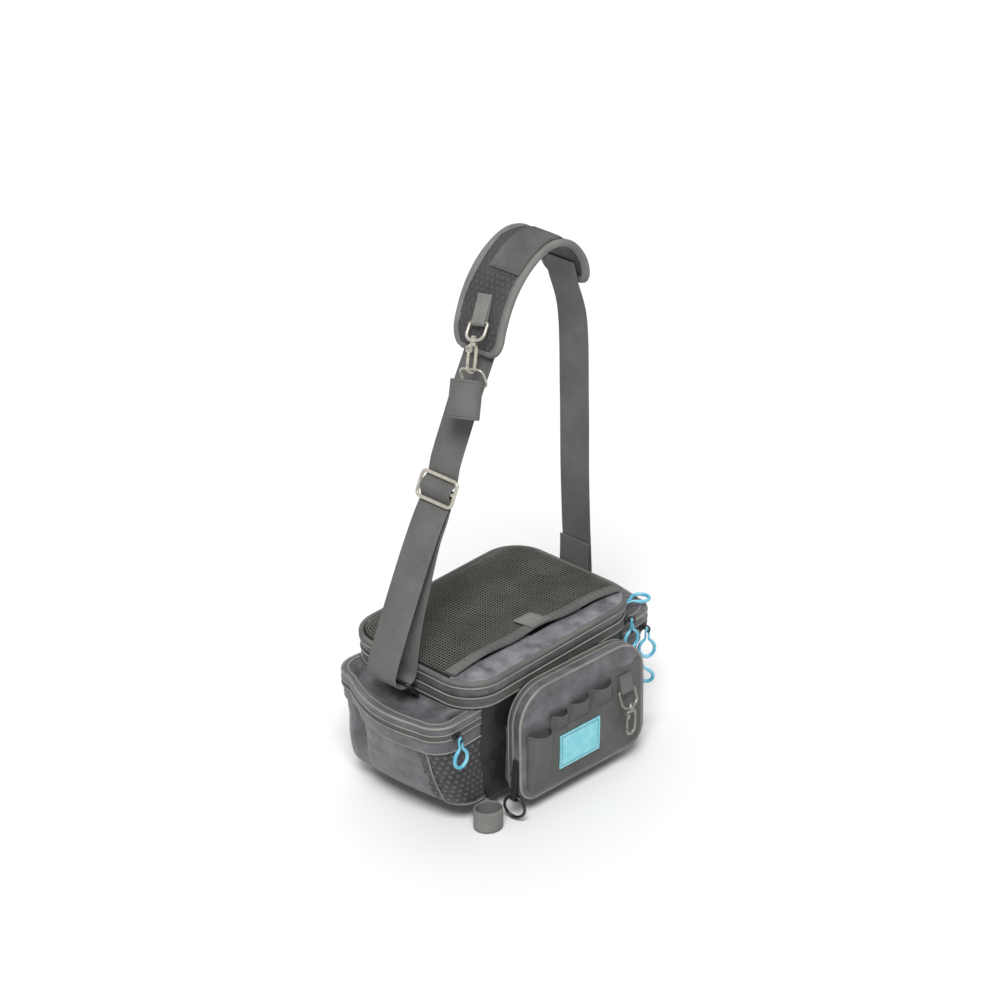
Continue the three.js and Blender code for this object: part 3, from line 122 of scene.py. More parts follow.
def evenly(path, count, loop=False):  # the same line with points at equal steps of its length
    path = np.vstack([path, path[:1]]) if loop else np.asarray(path, float)
    reach = reachOf(path)
    at = np.linspace(0, reach[-1], count + int(loop))[:count]
    return np.stack([np.interp(at, reach, path[:, k]) for k in range(path.shape[1])], -1)


def borderOf(grid):  # the ring of points one step inside the edge of a grid
    return np.concatenate([grid[1, 1:-1], grid[1:-1, -2], grid[-2, -2:0:-1], grid[-2:0:-1, 1]])


def mixedWaves(points, seed, count, halfTurns, low, high):
    # phases at each point of waves of mixed direction, whose lengths lie between low and high
    rng = np.random.default_rng(seed)
    wave = unit(rng.normal(size=(count, 3))) * (halfTurns * np.pi / rng.uniform(low, high, (count, 1)))
    return points @ wave.T + rng.uniform(0, 6.3, count)


def rumple(points, amount, seed, low=38.0, high=95.0):  # slack cloth: six mixed sine waves, added up
    return amount * np.sin(mixedWaves(points, seed, 6, 2, low, high)).sum(-1) / 2.5


def crumple(points, amount, seed, low=26.0, high=70.0):
    # pressed cloth: five mixed waves, each one less its own absolute sine and cubed, so crests are sharp
    crest = (1 - np.abs(np.sin(mixedWaves(points, seed, 5, 1, low, high)))) ** 3
    return amount * (crest.sum(-1) / 1.6 - 0.6)


# skins: grids of points turned into faces, with UVs in metres kept for each corner so that seams can close
noTris = {"tris": np.zeros((0, 3), int), "triUv": np.zeros((0, 3, 2))}


def skin(points, loopAcross=False, loopAlong=False, capFirst=False, capLast=False, uv=None):
    # a grid [along, across, xyz] as four-sided faces; a cap is a fan to the middle of its ring
    points = np.asarray(points, float)
    rows, cols = points.shape[:2]
    wrap = ((0, int(loopAlong)), (0, int(loopAcross)))
    index = np.pad(np.arange(rows * cols).reshape(rows, cols), wrap, mode="wrap")
    if uv is None:
        wide = np.pad(points, (*wrap, (0, 0)), mode="wrap")
        u = np.r_[0, np.cumsum(np.linalg.norm(np.diff(wide, axis=1), axis=2).mean(0))]
        v = np.r_[0, np.cumsum(np.linalg.norm(np.diff(wide, axis=0), axis=2).mean(1))]
        uv = np.stack(np.meshgrid(u, v), -1) / mmPerMetre
    else:
        uv = np.pad(np.asarray(uv, float), (*wrap, (0, 0)), mode="wrap") / mmPerMetre
    corner = [(slice(None, -1), slice(None, -1)), (slice(None, -1), slice(1, None)),
              (slice(1, None), slice(1, None)), (slice(1, None), slice(None, -1))]
    quads = np.stack([index[c] for c in corner], -1).reshape(-1, 4)
    quadUv = np.stack([uv[c] for c in corner], -2).reshape(-1, 4, 2)
    flat = points.reshape(-1, 3)
    tris, triUv = noTris["tris"], noTris["triUv"]
    for wanted, row, turn in ((capFirst, 0, 1), (capLast, -1, -1)):
        if wanted:
            ring = index[row, :cols]
            fan = np.stack([np.roll(ring, -1), ring, np.full(cols, len(flat))], -1)[:, ::turn]
            flat = np.vstack([flat, points[row].mean(0)])
            tris = np.vstack([tris, fan])
            triUv = np.concatenate([triUv, flat[fan][:, :, :2] / mmPerMetre])
    return {"points": flat, "quads": quads, "quadUv": quadUv, "tris": tris, "triUv": triUv}


def shell(rings, loop=False, uv=None):  # closed rings in a row, shut at both ends or joined into a loop
    return skin(rings, loopAcross=True, loopAlong=loop, capFirst=not loop, capLast=not loop, uv=uv)


def slab(outer, inner, uv=None):
    # a sheet with thickness: the outer grid, the inner grid, and a strip of faces round their edge
    outer, inner = np.asarray(outer, float), np.asarray(inner, float)
    top, under = skin(outer, uv=uv), skin(inner, uv=uv)
    index = np.arange(outer.shape[0] * outer.shape[1]).reshape(outer.shape[:2])
    edge = np.concatenate([index[0, :-1], index[:-1, -1], index[-1, :0:-1], index[:0:-1, 0]])
    after, half = np.roll(edge, -1), index.size
    strip = np.stack([after, edge, edge + half, after + half], -1)
    edgeUv = np.array([(1, 0), (0, 0), (0, 1), (1, 1)]) * 0.002  # each edge face shows 2 mm of the cloth
    return {"points": np.vstack([top["points"], under["points"]]),
            "quads": np.vstack([top["quads"], under["quads"][:, ::-1] + half, strip]),
            "quadUv": np.concatenate([top["quadUv"], under["quadUv"][:, ::-1],
                                      np.tile(edgeUv, (len(edge), 1, 1))]), **noTris}


def tube(path, radius, ref, sides=10, loop=False, flatten=1.0):
    # a round section carried along a path; ref is a direction, or one for each point, that the path never
    # runs along
    path = np.asarray(path, float)
    along = heading(path, loop)
    side = unit(np.cross(along, np.broadcast_to(np.asarray(ref, float), path.shape)))
    over = np.cross(side, along)
    angle = wholeTurn(sides)[:, None]
    width = np.broadcast_to(np.asarray(radius, float), (len(path),))[:, None, None]
    ring = side[:, None] * np.cos(angle) + over[:, None] * np.sin(angle) * flatten
    return shell(path[:, None] + width * ring, loop)


def ribbon(path, across, width, thickness, loop=False):
    # webbing: a flat section with half-round edges carried along a path, its width along the across direction
    path = np.asarray(path, float)
    along = heading(path, loop)
    wide = np.broadcast_to(np.asarray(across, float), path.shape)
    wide = unit(wide - along * (wide * along).sum(-1, keepdims=True))
    out = np.cross(along, wide)
    t = thickness / 2
    flat = np.linspace(-1, 1, 9) * (width / 2 - t)
    bend = np.radians([-60, -20, 20, 60])
    section = np.vstack([np.c_[flat, np.full(len(flat), -t)],
                         np.c_[width / 2 - t + t * np.cos(bend), t * np.sin(bend)],
                         np.c_[flat[::-1], np.full(len(flat), t)],
                         np.c_[t - width / 2 - t * np.cos(bend), -t * np.sin(bend)]])
    return shell(path[:, None] + wide[:, None] * section[:, :1] + out[:, None] * section[:, 1:], loop)


def lathe(foot, axis, profile, sides=16):
    # a turned shape: pairs of height and radius swung round an axis
    axis = unit(np.asarray(axis, float))
    first = unit(np.cross(axis, [0.31, 0.87, 0.38]))  # any way that no axis here runs along
    second = np.cross(axis, first)
    angle = wholeTurn(sides)[:, None]
    spoke = first * np.cos(angle) + second * np.sin(angle)
    profile = np.asarray(profile, float)
    return shell(foot + axis * profile[:, None, :1] + spoke * profile[:, None, 1:])


def block(centre, halfA, halfB, halfC, power=0.35, rings=9, sides=20):
    # a moulded block: an ellipsoid whose sines and cosines are raised to a small power, which squares it up
    lift = np.linspace(-np.pi / 2 * 0.97, np.pi / 2 * 0.97, rings)[:, None, None]
    turn = wholeTurn(sides)[None, :, None]
    shape = (squared(np.cos(lift), power) * squared(np.cos(turn), power) * np.asarray(halfA, float)
             + squared(np.cos(lift), power) * squared(np.sin(turn), power) * np.asarray(halfB, float)
             + squared(np.sin(lift), power) * np.asarray(halfC, float))
    return shell(np.asarray(centre, float) + shape)


def fourCorners(side, over):  # a square ring about each point
    spin = np.radians([45, 135, 225, 315])[:, None]
    return side[..., None, :] * np.cos(spin) + over[..., None, :] * np.sin(spin)


def threadSkin(points, uvStep=(0.0, 0.0)):
    # many like threads at once, each a row of square rings with closed ends: [thread, ring, corner, xyz];
    # uvStep is how far the UV goes round and along from one corner to the next
    threads, rings = points.shape[:2]
    grid = np.arange(rings * 4).reshape(rings, 4)
    turned = np.roll(grid, -1, 1)
    faces = np.stack([grid[:-1], turned[:-1], turned[1:], grid[1:]], -1).reshape(-1, 4)
    faces = np.vstack([faces, grid[0, ::-1], grid[-1]])
    quads = (faces[None] + grid.size * np.arange(threads)[:, None, None]).reshape(-1, 4)
    uv = np.stack([faces % 4 * uvStep[0], faces // 4 * uvStep[1]], -1)
    return {"points": points.reshape(-1, 3), "quads": quads, "quadUv": np.tile(uv, (threads, 1, 1)), **noTris}


def beads(centres, along, over, length, radius):
    # many small four-sided capsules at once: stitches, and the coils of a zip
    along, over = unit(along), unit(over - along * (over * along).sum(-1, keepdims=True))
    ends = np.array([-0.5, -0.36, 0.36, 0.5])[:, None, None] * length
    fat = np.array([0.45, 1.0, 1.0, 0.45])[:, None, None] * radius
    ring = fourCorners(np.cross(along, over), over)
    return threadSkin(centres[:, None, None] + along[:, None, None] * ends + ring[:, None] * fat)


def seam(path, over, pitch=4.6, length=3.3, radius=0.42, loop=False):
    # a row of thread: one capsule for each stitch, set a pitch apart along a path
    path = np.vstack([path, path[:1]]) if loop else np.asarray(path, float)
    count = max(int(reachOf(path)[-1] / pitch), 2)
    fine = evenly(path, count * 2 + 1)
    over = np.broadcast_to(np.asarray(over, float), (count, 3))
    return beads(fine[1::2], fine[2::2] - fine[:-1:2], over, length, radius)


def swapped(one):  # the skin with every face turned round
    return {**one, **{key: one[key][:, ::-1] for key in ("quads", "quadUv", "tris", "triUv")}}


def mirrored(one):  # the skin on the other side of the bag
    return {**one, "points": one["points"] * np.array([-1.0, 1, 1])}


def placed(skins, move):  # the same skins with their points moved
    return [{**one, "points": move(one["points"])} for one in skins]


def facingOut(one):
    # the sign of the volume seen from the skin's middle tells which way its faces point
    p = one["points"] - one["points"].mean(0)
    q, t = one["quads"], one["tris"]
    corners = np.vstack([q[:, [0, 1, 2]], q[:, [0, 2, 3]], t])
    volume = (p[corners[:, 0]] * np.cross(p[corners[:, 1]], p[corners[:, 2]])).sum()
    return swapped(one) if volume < 0 else one


def listed(one):  # one thing or a list of them, as a list
    return one if isinstance(one, list) else [one]


def makePiece(name, skins, finishes, stands=(), body="bag", paint=None, sharp=40, weld=True):
    # skins become one mesh that rides on a body; paint picks a finish for each face from its middle
    skins = [facingOut(one) for one in listed(skins)]
    start = np.cumsum([0] + [len(one["points"]) for one in skins])[:-1]
    points = np.vstack([one["points"] for one in skins])
    quads = np.vstack([one["quads"] + k for one, k in zip(skins, start)])
    tris = np.vstack([one["tris"] + k for one, k in zip(skins, start)])
    uv = np.concatenate([one[key].reshape(-1, 2) for key in ("quadUv", "triUv") for one in skins])
    sizes = np.r_[np.full(len(quads), 4), np.full(len(tris), 3)]
    mesh = bpy.data.meshes.new(name)
    mesh.vertices.add(len(points))
    mesh.vertices.foreach_set("co", (points / mmPerMetre + bagOrigin).astype(np.float32).ravel())
    mesh.loops.add(int(sizes.sum()))
    mesh.loops.foreach_set("vertex_index", np.r_[quads.ravel(), tris.ravel()].astype(np.int32))
    mesh.polygons.add(len(sizes))
    mesh.polygons.foreach_set("loop_start", (np.cumsum(sizes) - sizes).astype(np.int32))
    if paint is not None:
        middles = np.vstack([points[quads].mean(1), points[tris].mean(1)])
        mesh.polygons.foreach_set("material_index", paint(middles).astype(np.int32))
    mesh.uv_layers.new(name="cut").data.foreach_set("uv", uv.astype(np.float32).ravel())
    mesh.update(calc_edges=True)
    mesh.validate()
    if weld:
        work = bmesh.new()
        work.from_mesh(mesh)
        bmesh.ops.remove_doubles(work, verts=work.verts, dist=2e-6)
        work.to_mesh(mesh)
        work.free()
    mesh.polygons.foreach_set("use_smooth", np.ones(len(mesh.polygons), bool))
    mesh.set_sharp_from_angle(angle=math.radians(sharp))
    made = bpy.data.objects.new(name, mesh)
    bpy.context.scene.collection.objects.link(made)
    for finish in listed(finishes):
        mesh.materials.append(finish)
    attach(made, body)
    if stands:
        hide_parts(*stands)
    return made


def sew(name, rows):  # rows of thread as one piece
    return makePiece(name, rows, sewingThread, weld=False)


# finishes
def linear(code):  # sRGB hex to linear
    c = np.array([int(code[k:k + 2], 16) for k in (1, 3, 5)]) / 255
    return (*np.where(c <= 0.04045, c / 12.92, ((c + 0.055) / 1.055) ** 2.4), 1.0)


def addNode(tree, kind, settings=None, links=None):  # a node, settings by property or input, and links
    made = tree.nodes.new("ShaderNode" + kind)
    for key, value in (settings or {}).items():
        if isinstance(key, int) or key in made.inputs:
            made.inputs[key].default_value = value
        else:
            setattr(made, key, value)
    for key, socket in (links or {}).items():
        tree.links.new(socket, made.inputs[key])
    return made


def newFinish(name, settings):  # a material, with settings on its shader
    finish = bpy.data.materials.new(name)
    finish.use_nodes = True
    tree = finish.node_tree
    shader = tree.nodes["Principled BSDF"]
    for key, value in settings.items():
        shader.inputs[key].default_value = value
    return finish, tree, shader


def joinShader(tree, shader, colour, dull, bump):  # colour, roughness and normal into the shader
    tree.links.new(colour, shader.inputs["Base Color"])
    tree.links.new(dull.outputs[0], shader.inputs["Roughness"])
    tree.links.new(bump.outputs[0], shader.inputs["Normal"])


def bandScale(pitch):  # a wave texture repeats every 0.31416 over its scale
    return 0.31416 / pitch


# what all cloth shares: where patches start and end in their noise, the shade of threads, the spread of
# roughness, and the height of a thread and of a dent in metres; dents lie about 20 mm apart
clothLook = {"patch": (0.36, 0.68), "thread": (0.82, 1.06), "dull": (-0.08, 0.1), "height": 0.0006,
             "dentScale": 42.0, "dentHeight": 0.006, "dotEdge": 0.72, "dotHeight": 1.6}
hardLook = {"wearScale": 70.0, "worn": (0.45, 0.75), "dull": (-0.06, 0.1), "height": 0.0003}


def dotMask(tree, place, spacing, radius):
    # a honeycomb of dots on the UV map: two lattices half a cell apart, and the nearer middle of the two
    cell = (spacing / mmPerMetre, spacing * math.sqrt(3) / mmPerMetre, 1.0)
    near = []
    for shift in (0.0, 0.5):
        last = place.outputs["UV"]
        for operation, value in (("DIVIDE", cell), ("ADD", (shift, shift, 0)), ("FRACTION", None),
                                 ("SUBTRACT", (0.5, 0.5, 0)), ("MULTIPLY", (*cell[:2], 0)), ("LENGTH", None)):
            settings = {"operation": operation} if value is None else {"operation": operation, 1: value}
            step = addNode(tree, "VectorMath", settings, {0: last})
            last = step.outputs["Value" if operation == "LENGTH" else "Vector"]
        near.append(last)
    nearest = addNode(tree, "Math", {"operation": "MINIMUM"}, {0: near[0], 1: near[1]})
    edge = radius * clothLook["dotEdge"] / mmPerMetre
    return addNode(tree, "MapRange", {1: radius / mmPerMetre, 2: edge}, {0: nearest.outputs[0]})


def wovenFinish(name, main, pale, pitch, rough, depth, ribs=None, dots=None, mottle=24.0, sheen=0.0,
                creases=0.0):
    # cloth: two sine bands a thread apart multiplied into a weave, over slow patches of paler coat;
    # ribs stretches one band against the other, dots prints a tonal honeycomb of (spacing, radius, colour),
    # creases adds the small dents of handled cloth
    look = clothLook
    settings = {"Roughness": rough, "Sheen Weight": sheen, "Sheen Roughness": 0.5}
    finish, tree, shader = newFinish(name, settings)
    place = addNode(tree, "TexCoord")
    warp, weft = (addNode(tree, "TexWave", {"bands_direction": way, "Scale": bandScale(step)},
                          {"Vector": place.outputs["UV"]})
                  for way, step in (("X", ribs or pitch), ("Y", pitch)))
    weave = addNode(tree, "Math", {"operation": "MULTIPLY"}, {0: warp.outputs[1], 1: weft.outputs[1]})
    patches = addNode(tree, "TexNoise", {"Scale": mottle, "Detail": 5.0, "Roughness": 0.6},
                      {"Vector": place.outputs["Object"]})
    spread = addNode(tree, "MapRange", {1: look["patch"][0], 2: look["patch"][1]},
                     {0: patches.outputs[0]})
    tone = addNode(tree, "Mix", {"data_type": "RGBA", 6: linear(main), 7: linear(pale)},
                   {0: spread.outputs[0]})
    shade = addNode(tree, "MapRange", {3: look["thread"][0], 4: look["thread"][1]},
                    {0: weave.outputs[0]})
    colour = addNode(tree, "Mix", {"data_type": "RGBA", "blend_type": "MULTIPLY", 0: 1.0},
                     {6: tone.outputs[2], 7: shade.outputs[0]})
    height = weave.outputs[0]
    if dots:
        spacing, radius, dotColour = dots
        mask = dotMask(tree, place, spacing, radius)
        colour = addNode(tree, "Mix", {"data_type": "RGBA", 7: linear(dotColour)},
                         {0: mask.outputs[0], 6: colour.outputs[2]})
        height = addNode(tree, "Math", {"operation": "MULTIPLY_ADD", 1: look["dotHeight"]},
                         {0: mask.outputs[0], 2: height}).outputs[0]
    dull = addNode(tree, "MapRange", {3: rough + look["dull"][0], 4: rough + look["dull"][1]},
                   {0: patches.outputs[0]})
    bump = addNode(tree, "Bump", {"Strength": depth, "Distance": look["height"]}, {"Height": height})
    if creases:
        dents = addNode(tree, "TexNoise",
                        {"Scale": look["dentScale"], "Detail": 2.0, "Roughness": 0.5, "Distortion": 0.2},
                        {"Vector": place.outputs["Object"]})
        bump = addNode(tree, "Bump", {"Strength": creases, "Distance": look["dentHeight"]},
                       {"Height": dents.outputs[0], "Normal": bump.outputs[0]})
    joinShader(tree, shader, colour.outputs[2], dull, bump)
    return finish


def hardFinish(name, main, worn, rough, grit, depth, settings=None):
    # paint, nickel or rubber: one colour, paler in worn patches, with a grit of so many mm in its bump
    look = hardLook
    finish, tree, shader = newFinish(name, settings or {})
    place = addNode(tree, "TexCoord")
    wear = addNode(tree, "TexNoise", {"Scale": look["wearScale"], "Detail": 4.0},
                   {"Vector": place.outputs["Object"]})
    fine = addNode(tree, "TexNoise", {"Scale": mmPerMetre / grit, "Detail": 2.0},
                   {"Vector": place.outputs["Object"]})
    amount = addNode(tree, "MapRange", {1: look["worn"][0], 2: look["worn"][1]}, {0: wear.outputs[0]})
    colour = addNode(tree, "Mix", {"data_type": "RGBA", 6: linear(main), 7: linear(worn)},
                     {0: amount.outputs[0]})
    dull = addNode(tree, "MapRange", {3: rough + look["dull"][0], 4: rough + look["dull"][1]},
                   {0: wear.outputs[0]})
    bump = addNode(tree, "Bump", {"Strength": depth, "Distance": look["height"]},
                   {"Height": fine.outputs[0]})
    joinShader(tree, shader, colour.outputs[2], dull, bump)
    return finish


# thread and rib spacings in metres, about three times coarser than real ones, which would not show here
clothPitch, tapePitch, webPitch = 0.0021, 0.0016, 0.0024
tapeRibs, sleeveRibs, webRibs = 0.009, 0.0042, 0.0034
coatedPolyester = wovenFinish("coatedPolyester", "#545155", "#747176", clothPitch, 0.48, 0.3, mottle=38.0,
                              sheen=0.1, creases=0.6)  # soft shine over small dents
dottedPolyester = wovenFinish("dottedPolyester", "#252326", "#333035", clothPitch, 0.5, 0.35, sheen=0.1,
                              dots=(9.2, 2.6, "#555258"), creases=0.5)  # darker, with raised tonal dots
paintedLightPolyester = wovenFinish("paintedLightPolyester", "#67646a", "#9c99a0", clothPitch, 0.42, 0.3, mottle=38.0,
                            creases=0.5)  # painted light: the bag cloth made paler where the lid's top is lit
shadedPolyester = wovenFinish("shadedPolyester", "#131214", "#242225", clothPitch, 0.55, 0.3,
                              creases=0.6)  # painted shade: the bag cloth made near black where it lies in shade, with small dents
paintedShadeCloth = wovenFinish("paintedShadeCloth", "#121213", "#1c1c1d", clothPitch, 0.85, 0.3)  # painted shade: matt, near black, for cloth that lies in deep shade
netYarn = wovenFinish("netYarn", "#62615c", "#787670", tapePitch, 0.7, 0.4)  # knitted polyester strands
padPolyester = wovenFinish("padPolyester", "#3e3c3d", "#4e4c4d", clothPitch, 0.72, 0.4,
                           dots=(7.6, 2.3, "#4d4b4c"))  # dull, with dots that hardly stand out
patchCloth = wovenFinish("patchCloth", "#535251", "#6d6b69", tapePitch, 0.66, 0.4)  # flat weave, left bare
bindingTape = wovenFinish("bindingTape", "#5f5e5c", "#72706d", tapePitch, 0.66, 0.5, tapeRibs)  # ribbed
sleeveCloth = wovenFinish("sleeveCloth", "#50504e", "#62625f", clothPitch, 0.62, 0.5,
                          sleeveRibs)  # smooth, with upright ribs
padTape = wovenFinish("padTape", "#72716f", "#8a8986", tapePitch, 0.66, 0.5, tapeRibs)  # ribbed and paler
greyWebbing = wovenFinish("greyWebbing", "#626361", "#70716e", webPitch, 0.72, 0.55, webRibs)  # dull nylon
paleWebbing = wovenFinish("paleWebbing", "#777875", "#8b8c88", webPitch, 0.75, 0.55, webRibs)  # worn nylon
blackWebbing = wovenFinish("blackWebbing", "#1d1d1e", "#2a2a2b", webPitch, 0.75, 0.55, webRibs)  # dyed nylon
pipingCloth = wovenFinish("pipingCloth", "#82817d", "#9f9d97", tapePitch, 0.5, 0.4)  # bright, over a cord
zipTape = wovenFinish("zipTape", "#5c5b5a", "#6d6c6a", tapePitch, 0.6, 0.4)  # woven polyester beside the coil
zipCoil = hardFinish("zipCoil", "#5c5c5b", "#6f6f6d", 0.38, 0.6, 0.1)  # nylon filament with a low shine
sewingThread = hardFinish("sewingThread", "#4c4b4c", "#5f5e5f", 0.65, 0.4, 0.3)  # dull twisted polyester
boneMetal = hardFinish("boneMetal", "#b9b4a8", "#d3cec1", 0.36, 1.2, 0.08,
                       {"Metallic": 0.35, "Coat Weight": 0.2})  # pale lacquer over zinc, smooth and warm
greyMetal = hardFinish("greyMetal", "#84827d", "#a3a19c", 0.34, 1.2, 0.08,
                       {"Metallic": 0.5, "Coat Weight": 0.2})  # satin nickel plate
blackMetal = hardFinish("blackMetal", "#19191a", "#2b2b2c", 0.36, 1.0, 0.12,
                        {"Coat Weight": 0.2})  # smooth black paint on steel
blueRubber = hardFinish("blueRubber", "#5cb3d0", "#93d0e2", 0.46, 0.9, 0.2)  # moulded, slightly soft shine
labelRubber = hardFinish("labelRubber", "#82cfdb", "#9bdce6", 0.55, 0.7, 0.35)  # moulded sheet, fine grit
print("finishes made")

# main compartment; its rows are height, growth of the plan and bow of its sides
bagPlan = {"halfX": 140.0, "halfY": 95.0, "corner": 38.0, "leastCorner": 5.0, "wall": 4.0, "slack": 0.9,
           "crease": 1.6, "frontY": -60.0, "frontFade": 25.0, "shadeY": -72.0,
           "rows": [(0, -7, 0), (4, -2, 1), (14, 0, 2), (60, 2, 4), (105, 3, 3), (136, 4, 1)]}
flatX, flatY = bagPlan["halfX"] - bagPlan["corner"], bagPlan["halfY"] - bagPlan["corner"]


def roundOutline(half, bottom, top, lowCorner, highCorner, bow, arcSteps=12, runSteps=26):
    # four corner arcs, from the lower right one round, joined by runs that bow out as parabolas; every value
    # is given for each row, and the result is [row, point, xy]
    low, high = bottom + lowCorner, top - highCorner
    inLow, inHigh = half - lowCorner, half - highCorner
    arcs = []
    for cx, cy, r, start in ((inLow, low, lowCorner, -90), (inHigh, high, highCorner, 0),
                             (-inHigh, high, highCorner, 90), (-inLow, low, lowCorner, 180)):
        angle = np.radians(start + np.linspace(0, 90, arcSteps + 1))
        arcs.append(np.stack([cx[:, None] + r[:, None] * np.cos(angle),
                              cy[:, None] + r[:, None] * np.sin(angle)], -1))
    share = np.linspace(0, 1, runSteps + 1)[1:-1, None]
    parts = []
    for k, out in enumerate([(1.0, 0), (0, 1), (-1, 0), (0, -1)]):
        run = between(arcs[k][:, -1:], arcs[(k + 1) % 4][:, :1], share)
        parts += [arcs[k], run + bow[:, None, None] * (1 - (2 * share - 1) ** 2) * np.array(out)]
    return np.concatenate(parts, 1)


def softRings(z, grow, bow=0.0):  # the bag's plan grown outwards, at each height
    z, grow, bow = (np.array(a, float) for a in np.broadcast_arrays(z, grow, bow))
    r = np.maximum(bagPlan["corner"] + grow, bagPlan["leastCorner"])
    deep = bagPlan["halfY"] + grow
    plan = roundOutline(bagPlan["halfX"] + grow, -deep, deep, r, r, bow)
    return np.concatenate([plan, np.broadcast_to(z[:, None, None], plan.shape[:2] + (1,))], -1)


def sideX(y, grow=0.0, bow=0.0):  # half width of that plan at y: the flat run, the corner's arc, and the bow
    past = np.maximum(np.abs(y) - flatY, 0)
    arc = np.sqrt(np.maximum((bagPlan["corner"] + grow) ** 2 - past ** 2, 0))
    return flatX + arc + bow * np.maximum(1 - (y / flatY) ** 2, 0)


def outwards(points, loop=True):  # the level direction away from each ring's own line
    along = np.roll(points, -1, 1) - np.roll(points, 1, 1) if loop else np.gradient(points, axis=1)
    return unit(np.stack([along[..., 1], -along[..., 0], np.zeros(along.shape[:2])], -1))


def makeBody():
    # the plan lofted up its rows; the wall is slackest at half height, and pressed into creases at the front
    b = bagPlan
    knots = smoothRows(b["rows"], 40)
    outer = softRings(*knots.T)
    slack = np.sin(np.pi * np.clip(knots[:, 0] / b["rows"][-1][0], 0, 1))[:, None]
    front = ease((b["frontY"] - outer[..., 1]) / b["frontFade"])
    push = (rumple(outer, b["slack"], 3) + front * crumple(outer, b["crease"], 5)) * slack
    outer = outer + outwards(outer) * push[..., None]
    deep = knots[knots[:, 0] >= b["wall"]][::-1]
    inner = softRings(deep[:, 0], deep[:, 1] - b["wall"], deep[:, 2])

    def wallPaint(middle):  # painted shade: near black cloth on the wall between the pockets, where it lies in shade
        return np.where(middle[:, 1] < b["shadeY"], 1, 0)

    makePiece("main_shell", shell(np.concatenate([outer, inner])), [coatedPolyester, shadedPolyester],
              ["main_body"], paint=wallPaint)


makeBody()

# lid and its zip: rows are height and growth of the plan, pipes are height, growth and radius
lidZip = {"hingeFromY": 62.0, "middle": 142.2, "heights": [136.7, 138, 146.4, 147.9],
          "outer": [4.9, 6.2, 6.2, 4.9], "inner": [1.5, 2.4, 2.4, 1.5], "coil": 6.7, "shadeY": -80.0,
          "pipes": [(148.6, 6.4, 1.1), (136.0, 5.6, 1.2), (162.6, 7.5, 1.0)]}
lid = {"outside": [(148.3, 4), (157, 7), (166, 7), (169.5, 3), (171.5, -7), (174, -40)],
       "inside": [(170.5, -40), (168, -10), (166.2, -3.5), (163, 1), (148.3, 1)],
       "edgeRoll": (167.4, 5.4, 3.3), "looseFrom": 166.0, "looseFade": 6.0, "bareFade": 14.0, "upper": 167.5,
       "paintedShadeFrom": 3.0}
zipTeeth = {"gap": 2.3, "offset": 0.8, "length": 2.1, "radius": 0.55, "slant": 0.15}
net = {"left": -66.0, "right": -80.0, "behind": 2.0, "lift": 1.2, "mouth": 7.0, "mouthDepth": 50.0,
       "wave": 0.3, "waveLength": 15.0, "pitch": 4.1, "yarn": 0.59, "flatten": 0.75, "above": 0.55,
       "weave": 0.22, "uvStep": (0.0008, 0.0019)}
netBinding = {"depth": 12.0, "lip": 2.0, "above": 1.9, "thickness": 1.4, "bulge": 0.5, "seams": (0.12, 0.85)}
netTab = {"halfX": 14.0, "forward": 1.0, "depth": 30.0, "above": 3.6, "thickness": 1.6}


def toothLine(path):  # a pair of points for each tooth of a zip
    return evenly(path, 2 * int(reachOf(path)[-1] / zipTeeth["gap"]))


def coilBeads(line, along, side, over, slant):
    # two rows of beads, every other one to the other side, that reach over each other at the middle
    lean = np.where(np.arange(len(line)) % 2, 1.0, -1.0)[:, None]
    return beads(line + side * lean * zipTeeth["offset"], side + along * slant, over, zipTeeth["length"],
                 zipTeeth["radius"])


def zipRow(path, over):  # the coil of a level zip that faces over
    line = toothLine(path)
    along = heading(line)
    over = np.broadcast_to(np.asarray(over, float), line.shape)
    return coilBeads(line, along, unit(np.cross(along, over)), over, zipTeeth["slant"])


def hingeRun(onZip, first):  # the columns off the zip as one run: those marked first, then the others
    off = np.nonzero(~onZip)[0]
    return np.r_[off[first[off]], off[~first[off]]]


def netFront(share):  # y of the net's slanting front edge, from its left end at 0 to its right end at 1
    return between(net["left"], net["right"], share)


def netFrontAt(x):  # the same from a place across the lid
    return netFront((x / bagPlan["halfX"] + 1) / 2)


